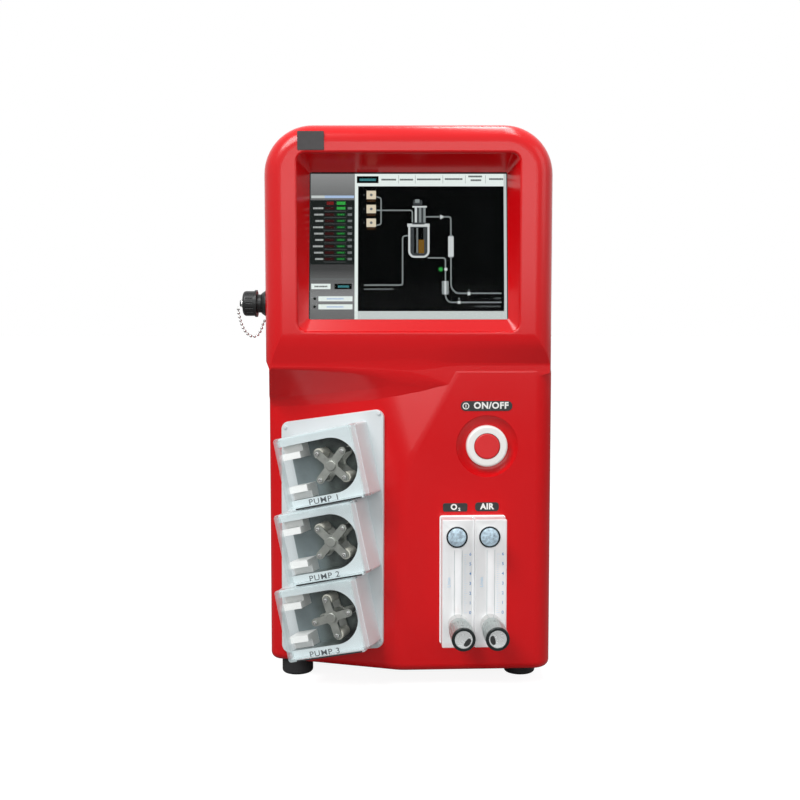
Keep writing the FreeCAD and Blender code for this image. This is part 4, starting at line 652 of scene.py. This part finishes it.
def draw_picture():
    bar(0.0, 0.0, 1.0, 1.0, "black", 0)
    # Left column
    bar(0.0, 0.0, 0.226, 1.0, "column", 1)
    bar(0.004, 0.150, 0.072, 0.168, "mint", 2)
    bar(0.072, 0.150, 0.222, 0.168, "ice", 2)
    bar(0.0, 0.182, 0.226, 0.625, "table", 2)
    bar(0.083, 0.192, 0.118, 0.214, "red", 3)
    bar(0.134, 0.192, 0.178, 0.214, "green", 3)
    for row in range(9):
        y = 0.238 + 0.0437 * row
        words(0.014 + 0.006 * (row % 3), 0.066, y, "text", 3, 0.012, 0.25)
        bar(0.074, y - 0.009, 0.120, y + 0.009, "dim_red", 3)
        bar(0.134, y - 0.009, 0.178, y + 0.009, "dim_green" if row else "green", 3)
        words(0.139, 0.172, y, "green", 4, 0.007, 0.6)
        bar(0.190, y - 0.008, 0.212, y + 0.008, "line", 3)
        bar(0.070, y + 0.019, 0.182, y + 0.022, "grey", 3)
    bar(0.004, 0.722, 0.222, 0.728, "line", 3)
    bar(0.006, 0.757, 0.104, 0.794, "white", 3)
    words(0.022, 0.088, 0.776, "grey", 4, 0.010, 0.25)
    bar(0.124, 0.757, 0.212, 0.794, "black", 3)
    words(0.142, 0.198, 0.776, "teal", 4, 0.014, 0.15)
    for y in (0.860, 0.915):
        bar(0.043, y - 0.017, 0.216, y + 0.017, "white", 3)
        words(0.086, 0.170, y, "ice", 4, 0.010, 0.3)
        dot(0.024, y, 1.6, "table", 3)
    # White border, tab strip and bottom strip
    bar(0.226, 0.0, 1.0, 0.086, "white", 1)
    bar(0.226, 0.0, 0.243, 1.0, "white", 2)
    bar(0.986, 0.0, 1.0, 1.0, "mint", 2)
    bar(0.226, 0.944, 1.0, 1.0, "mint", 2)
    bar(0.236, 0.016, 0.347, 0.064, "black", 3)
    words(0.250, 0.334, 0.041, "teal", 4, 0.016, 0.12)
    for x0, x1, y in ((0.362, 0.436, 0.040), (0.456, 0.524, 0.040), (0.544, 0.664, 0.038), (0.686, 0.776, 0.036),
                      (0.806, 0.876, 0.018), (0.818, 0.872, 0.044), (0.912, 0.984, 0.036)):
        words(x0, x1, y, "grey", 3, 0.012, 0.12)
    for x in (0.449, 0.534, 0.675, 0.790, 0.893):
        bar(x, 0.010, x + 0.0015, 0.066, "line", 3)
    # Feed squares and their manifold
    for y in (0.146, 0.243, 0.338):
        bar(0.286, y - 0.029, 0.334, y + 0.029, "beige", 3)
        dot(0.310, y, 1.5, "line", 4)
        bar(0.288, y + 0.030, 0.332, y + 0.048, "brown", 3)
        words(0.270, 0.278, y, "grey", 3, 0.010)
    pipe([(0.334, 0.158), (0.360, 0.166), (0.360, 0.350), (0.334, 0.356)], 1.3, "pipe")
    pipe([(0.334, 0.252), (0.520, 0.252), (0.520, 0.335)], 1.4, "pipe")
    # Vessel
    bar(0.524, 0.182, 0.570, 0.214, "vessel_dark", 3)
    bar(0.534, 0.176, 0.556, 0.200, "pipe", 4)
    bar(0.520, 0.222, 0.594, 0.233, "pipe_light", 3)
    for k, colour in enumerate(("pipe_light", "vessel_dark", "pipe", "vessel_dark", "pipe")):
        bar(0.532 + 0.011 * k, 0.233, 0.543 + 0.011 * k, 0.340, colour, 3)
    bar(0.494, 0.344, 0.608, 0.366, "pipe_light", 4)
    bar(0.520, 0.336, 0.582, 0.350, "vessel_dark", 5)
    bar(0.506, 0.366, 0.598, 0.560, "vessel_dark", 3)
    bar(0.528, 0.372, 0.576, 0.548, "black", 4)
    bar(0.540, 0.372, 0.549, 0.545, "line", 5)
    bar(0.551, 0.455, 0.580, 0.548, "amber", 5)
    outline = [(0.504, 0.362), (0.504, 0.548), (0.520, 0.572), (0.586, 0.572), (0.602, 0.548), (0.602, 0.362)]
    pipe(outline, 2.2, "pipe_light", 5.0, 4)
    # Right loop with a condenser
    pipe([(0.584, 0.300), (0.596, 0.297), (0.716, 0.297), (0.716, 0.780), (0.742, 0.822), (0.972, 0.822)], 1.4, "pipe")
    fill([spot(0.662, 0.280), spot(0.662, 0.316), spot(0.682, 0.298)], "pipe_light", 4)
    bar(0.702, 0.432, 0.730, 0.572, "pipe_light", 4)
    bar(0.708, 0.424, 0.724, 0.580, "pipe", 3)
    bar(0.800, 0.812, 0.814, 0.836, "pipe_light", 4)
    dot(0.807, 0.800, 0.9, "pipe", 4)
    words(0.938, 0.968, 0.856, "grey", 3, 0.012)
    # Lower loop with a small pump
    pipe([(0.598, 0.580), (0.688, 0.580), (0.688, 0.850), (0.706, 0.884), (0.972, 0.884)], 1.4, "pipe")
    dot(0.664, 0.658, 3.0, "dim_green", 3)
    dot(0.664, 0.658, 1.9, "green", 4)
    dot(0.690, 0.658, 1.8, "pipe_light", 4)
    bar(0.670, 0.738, 0.704, 0.830, "pipe", 4)
    bar(0.682, 0.738, 0.692, 0.830, "pipe_light", 5)
    bar(0.750, 0.874, 0.764, 0.896, "pipe_light", 4)
    dot(0.757, 0.860, 0.9, "pipe", 4)
    words(0.838, 0.968, 0.912, "grey", 3, 0.010)
    # Left feed loop
    pipe([(0.502, 0.426), (0.470, 0.430), (0.470, 0.766), (0.276, 0.766)], 1.4, "pipe")
    words(0.276, 0.424, 0.794, "line", 3, 0.010)


draw_picture()
screen_picture = add_mesh("screen_picture", picture, SCREEN, [GLOW[k] for k in GLOW_ORDER], "cabinet")

# ---- Labels -----------------------------------------------------------------------------------------------


def add_label(name, matrix, width, height, radius):
    add_plate(f"{name}_plate", matrix, rounded_points(width, height, radius), 0.0, 0.5, 0.2, M["label"],
              "cabinet")


def letter(name, matrix, text, size, x, y, bold, spacing=1.0):
    add_text(name, matrix, text, size, x, y, LETTER_LIFT, M["label_text"], "cabinet", bold, spacing)


oxygen_label = right_facet(50.3, 197.0)
add_label("oxygen", oxygen_label, 26.4, 9.2, 2.0)
letter("oxygen_letter", oxygen_label, "O", 8.6, -1.4, 0.2, 0.35)
letter("oxygen_figure", oxygen_label, "2", 4.4, 4.4, -2.2, 0.2)
air_label = right_facet(84.6, 197.4)
add_label("air", air_label, 25.6, 9.6, 3.2)
letter("air_letters", air_label, "AIR", 8.8, 0, 0.2, 0.38, 1.08)
switch_label = right_facet(83.6, 306.4)
add_label("switch", switch_label, 55.5, 10.6, 5.0)
letter("switch_letters", switch_label, "ON/OFF", 9.6, 4.9, 0.2, 0.36, 1.10)


def add_power_mark():
    """A ring with a short upright stroke in it."""
    mark = bmesh.new()
    steps = 36
    inner, outer = ([mark.verts.new(point) for point in circle(radius, steps, 0)] for radius in (2.6, 3.6))
    for i in range(steps):
        j = (i + 1) % steps
        mark.faces.new([inner[i], outer[i], outer[j], inner[j]])
    strip(mark, -0.45, -1.6, 0.45, 1.7)
    bmesh.ops.recalc_face_normals(mark, faces=mark.faces)
    place = switch_label @ Matrix.Translation((-22.2, 0, 0.56))
    add_mesh("power_mark", mark, place, [M["label_text"]], "cabinet")


add_power_mark()

# ---- Blank name plate -------------------------------------------------------------------------------------

name_place = FRONT @ Matrix.Translation((-102.4, 585.2, 0))
add_plate("name_plate", name_place, rounded_points(28, 19.5, 1.0), 0.0, 0.6, 0.2, M["name_plate"],
          "cabinet")

# ---- Rotameters -------------------------------------------------------------------------------------------

# Outlines of turned pieces as (radius, height) points
HEAD_RING = ((9.6, -0.6), (9.6, -0.15), (9.8, -0.03), (11.2, -0.03), (11.4, -0.15), (11.4, -0.6))
HEAD_FACE = ((0, -0.5), (0, -0.06), (9.4, -0.06), (9.5, -0.1), (9.5, -0.5))
KNOB_FACE = ((0, 0.0), (0, 0.12), (3.0, 0.14), (7.5, 0.3), (9.0, 0.6), (9.3, 0.55), (9.3, 0.0))


def arc_band(bm, inner, outer, middle, spread, z, steps=20):
    """A crescent between two radii, pointed at both ends."""
    rows = []
    for i in range(steps + 1):
        share = 2 * i / steps - 1
        a = math.radians(middle + share * spread)
        half = (outer - inner) / 2 * math.sqrt(max(0.0, 1 - share ** 2)) + 0.05
        centre = (inner + outer) / 2
        rows.append([bm.verts.new(polar(centre + k * half, a, z)) for k in (-1, 1)])
    for a, b in zip(rows, rows[1:]):
        bm.faces.new([a[0], a[1], b[1], b[0]])


def dress_meter(number, gas):
    matrix = meter_frame(number)
    ticks = bmesh.new()
    for k in range(TICK_COUNT):
        y = SCALE_ZERO_Y + TICK_PITCH * k
        long = 3.4 if k % FIGURE_STEP == 0 else 1.8
        strip(ticks, 6.2, y - 0.13, 6.2 + long, y + 0.13)
    add_mesh(f"{gas}_scale_ticks", ticks, matrix @ Matrix.Translation((0, 0, METER_FRONT + TICK_LIFT)),
             [M["pale_blue_ink"]], "cabinet")
    # Two grey lines on the block's face stand for the bore's walls seen through the acrylic: painted refraction.
    tube = bmesh.new()
    for x in (-4.35, 3.85):
        strip(tube, x, TUBE_LOW - 1.0, x + 0.5, TUBE_HIGH + 1.0)
    add_mesh(f"{gas}_tube_edges", tube, matrix @ Matrix.Translation((0, 0, METER_FRONT + EDGE_LIFT)),
             [M["painted_refraction_grey"]], "cabinet")
    for k in range(FIGURE_COUNT):
        y = SCALE_ZERO_Y + TICK_PITCH * FIGURE_STEP * k
        add_text(f"{gas}_scale_figure_{k}", matrix, str(k), 4.6, 12.8, y, METER_FRONT + PRINT_LIFT,
                 M["blue_ink"], "cabinet", 0.06)
    upright = matrix @ Matrix.Rotation(math.radians(90), 4, "Z")
    add_text(f"{gas}_scale_unit", upright, "L/min", 4.8, 2.0, 9.8, METER_FRONT + PRINT_LIFT,
             M["pale_blue_ink"], "cabinet", 0.05)
    # Plug at the head of the tube, a chrome cap whose dark ring and pale blue mottled face are painted reflection
    head = matrix @ Matrix.Translation((-1.4, OUTLET_Y + 1.9, METER_FRONT + 0.55))
    add_turned(f"{gas}_head_ring", head, HEAD_RING, M["chrome_painted_dark_reflection"], "cabinet")
    add_turned(f"{gas}_head_face_painted_reflection", head, HEAD_FACE, M["head_face_painted_reflection"], "cabinet")
    # Bright dished face of the knob with a dark crescent
    face = matrix @ Matrix.Translation((0, VALVE_Y, KNOB_END - 1.0))
    add_turned(f"{gas}_knob_face", face, KNOB_FACE, M["knob_face"], f"{gas}_knob")
    mark = bmesh.new()
    arc_band(mark, 2.6, 8.2, KNOB_CRESCENTS[number], 52.0, 0.36)
    add_mesh(f"{gas}_knob_crescent", mark, face, [M["label"]], f"{gas}_knob")


for i, gas in enumerate(GASES):
    dress_meter(i, gas)

# ---- Pump heads -------------------------------------------------------------------------------------------


SCREW = ((0, 0.9), (0.7, 0.9), (0.8, 0.5), (1.1, 0.5), (1.2, 0.9), (2.0, 0.75), (2.3, 0.3), (2.3, 0.0), (0, 0.0))


def dress_pump(number):
    matrix = pump_frame(number)
    pump = f"pump_{number + 1}"
    add_text(f"{pump}_label", matrix, f"PUMP {number + 1}", 8.4, -1.0, -33.4, COVER_FRONT + PRINT_LIFT,
             M["ink"], f"{pump}_lid", 0.05, 1.12, 1.18)
    # A dark strip along each lid's lower edge is painted shadow: the shade in the gap between one pump and the next.
    add_plate(f"{pump}_lid_painted_shadow_strip", matrix, rounded_points(76.0, 1.5, 0.7, 3.0, -38.0), COVER_FRONT - 0.4,
              COVER_FRONT + 0.3, 0.15, M["dark"], f"{pump}_lid")
    wheel = matrix @ Matrix.Translation((TRACK_X, 0, 0))
    for k in range(4):
        a = math.radians(ROTOR_ANGLES[number] + 90 * k)
        reach = ROLLER_CIRCLE if k % 2 == 0 else GUIDE_CIRCLE
        place = wheel @ Matrix.Translation(polar(reach, a, ROTOR_TOP + 1.2))
        add_turned(f"{pump}_screw_{k}", place, SCREW, M["bright"], f"{pump}_wheel", 24)


for i in range(PUMP_COUNT):
    dress_pump(i)

# ---- Ball chain -------------------------------------------------------------------------------------------


def smooth_route(points, pitch):
    """Evenly spaced points on a smooth curve through the given ones."""
    dense = []
    padded = [points[0] * 2 - points[1]] + points + [points[-1] * 2 - points[-2]]
    for p0, p1, p2, p3 in zip(padded, padded[1:], padded[2:], padded[3:]):
        square = 2 * p0 - 5 * p1 + 4 * p2 - p3
        cube = 3 * p1 - p0 - 3 * p2 + p3
        for k in range(20):
            t = k / 20
            dense.append(0.5 * ((2 * p1) + (p2 - p0) * t + square * t * t + cube * t ** 3))
    dense.append(points[-1])
    lengths = [0.0]
    for a, b in zip(dense, dense[1:]):
        lengths.append(lengths[-1] + (b - a).length)
    count = round(lengths[-1] / pitch)
    even, k = [], 0
    for i in range(count + 1):
        target = lengths[-1] * i / count
        while k < len(lengths) - 2 and lengths[k + 1] < target:
            k += 1
        share = (target - lengths[k]) / max(1e-9, lengths[k + 1] - lengths[k])
        even.append(dense[k].lerp(dense[k + 1], share))
    return even


def add_chain():
    beads = smooth_route([Vector((0, height, out)) for out, height in CHAIN_ROUTE], BEAD_PITCH)
    bm = bmesh.new()
    for point in beads:
        place = Matrix.Translation(point)
        bmesh.ops.create_uvsphere(bm, u_segments=16, v_segments=10, radius=BEAD_RADIUS, matrix=place)
    for a, b in zip(beads, beads[1:]):
        turn = Vector((0, 0, 1)).rotation_difference(b - a).to_matrix().to_4x4()
        bmesh.ops.create_cone(bm, segments=8, radius1=LINK_RADIUS, radius2=LINK_RADIUS, depth=(b - a).length,
                              matrix=Matrix.Translation((a + b) / 2) @ turn)
    for face in bm.faces:
        face.smooth = True
    chain = add_mesh("ball_chain", bm, SIDE, [M["bright"]], None)
    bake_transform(chain)
    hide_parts("cap_chain")


add_chain()

# ---- Stage and light --------------------------------------------------------------------------------------

FLOOR, FLOOR_GLOW, WORLD_LIGHT = 0.24, 0.90, 0.42
# Name, place and target in metres, size in metres, power in watts
LAMPS = (
    ("front", (0.1, -2.7, 0.9), (0, 0.1, 0.5), (2.0, 0.9), 13),
    ("key", (-1.1, -1.4, 2.3), (0, 0.1, 0.35), (1.2, 1.2), 54),
    ("fill", (1.9, -1.0, 1.3), (0, 0.1, 0.3), (1.0, 1.4), 6),
    ("strip", (0.35, 0.15, 2.2), (0.1, 0.1, 0.5), (2.0, 0.3), 21),
)


def background_rays(b):
    """1 where the camera, a reflection or a see-through piece looks at the background."""
    path = b.nodes.new("ShaderNodeLightPath")
    value = path.outputs["Is Camera Ray"]
    for kind in ("Is Glossy Ray", "Is Transmission Ray"):
        value = b.math("MAXIMUM", value, path.outputs[kind])
    return value


def add_floor():
    """A pale floor that reads white, with the object's shadow on it."""
    bm = bmesh.new()
    bmesh.ops.create_grid(bm, x_segments=2, y_segments=2, size=40.0)
    data = bpy.data.meshes.new("floor")
    bm.to_mesh(data)
    bm.free()
    floor = bpy.data.objects.new("floor", data)
    floor.location = (0, 0, -0.0002)
    bpy.context.scene.collection.objects.link(floor)
    b = Builder("pale_floor")
    pale = b.principled(Roughness=0.9, Specular_IOR_Level=0.1)
    tone = (FLOOR, FLOOR, FLOOR)
    b.links.new(b.ramp(b.noise(3.0), [(0.3, shade(tone, 1.0)), (0.7, shade(tone, 1.03))]), pale.inputs["Base Color"])
    glow = b.nodes.new("ShaderNodeEmission")
    glow.inputs["Color"].default_value = (1, 1, 1, 1)
    glow.inputs["Strength"].default_value = FLOOR_GLOW
    both = b.nodes.new("ShaderNodeAddShader")
    b.links.new(pale.outputs["BSDF"], both.inputs[0])
    b.links.new(glow.outputs["Emission"], both.inputs[1])
    mix = b.nodes.new("ShaderNodeMixShader")
    path = b.nodes.new("ShaderNodeLightPath")
    b.links.new(path.outputs["Is Camera Ray"], mix.inputs["Fac"])
    b.links.new(pale.outputs["BSDF"], mix.inputs[1])
    b.links.new(both.outputs["Shader"], mix.inputs[2])
    b.links.new(mix.outputs["Shader"], b.out.inputs["Surface"])
    data.materials.append(b.mat)


def add_world():
    """A soft light from all round, in front of a plain white background."""
    world = bpy.data.worlds.new("studio")
    b = Nodes(world)
    out = b.nodes.new("ShaderNodeOutputWorld")
    mix = b.nodes.new("ShaderNodeMixShader")
    b.links.new(background_rays(b), mix.inputs["Fac"])
    for socket, strength in ((1, WORLD_LIGHT), (2, 1.0)):
        sky = b.nodes.new("ShaderNodeBackground")
        sky.inputs["Color"].default_value = (1, 1, 1, 1)
        sky.inputs["Strength"].default_value = strength
        b.links.new(sky.outputs["Background"], mix.inputs[socket])
    b.links.new(mix.outputs["Shader"], out.inputs["Surface"])
    bpy.context.scene.world = world


def add_lamp(name, location, target, size, power):
    data = bpy.data.lights.new(name, "AREA")
    data.shape = "RECTANGLE"
    data.size, data.size_y = size
    data.energy = power
    lamp = bpy.data.objects.new(name, data)
    lamp.location = SHIFT + Vector(location)
    lamp.rotation_euler = (SHIFT + Vector(target) - lamp.location).to_track_quat("-Z", "Y").to_euler()
    bpy.context.scene.collection.objects.link(lamp)


add_floor()
add_world()
for lamp in LAMPS:
    add_lamp(*lamp)

bpy.context.scene.view_settings.view_transform = "Standard"
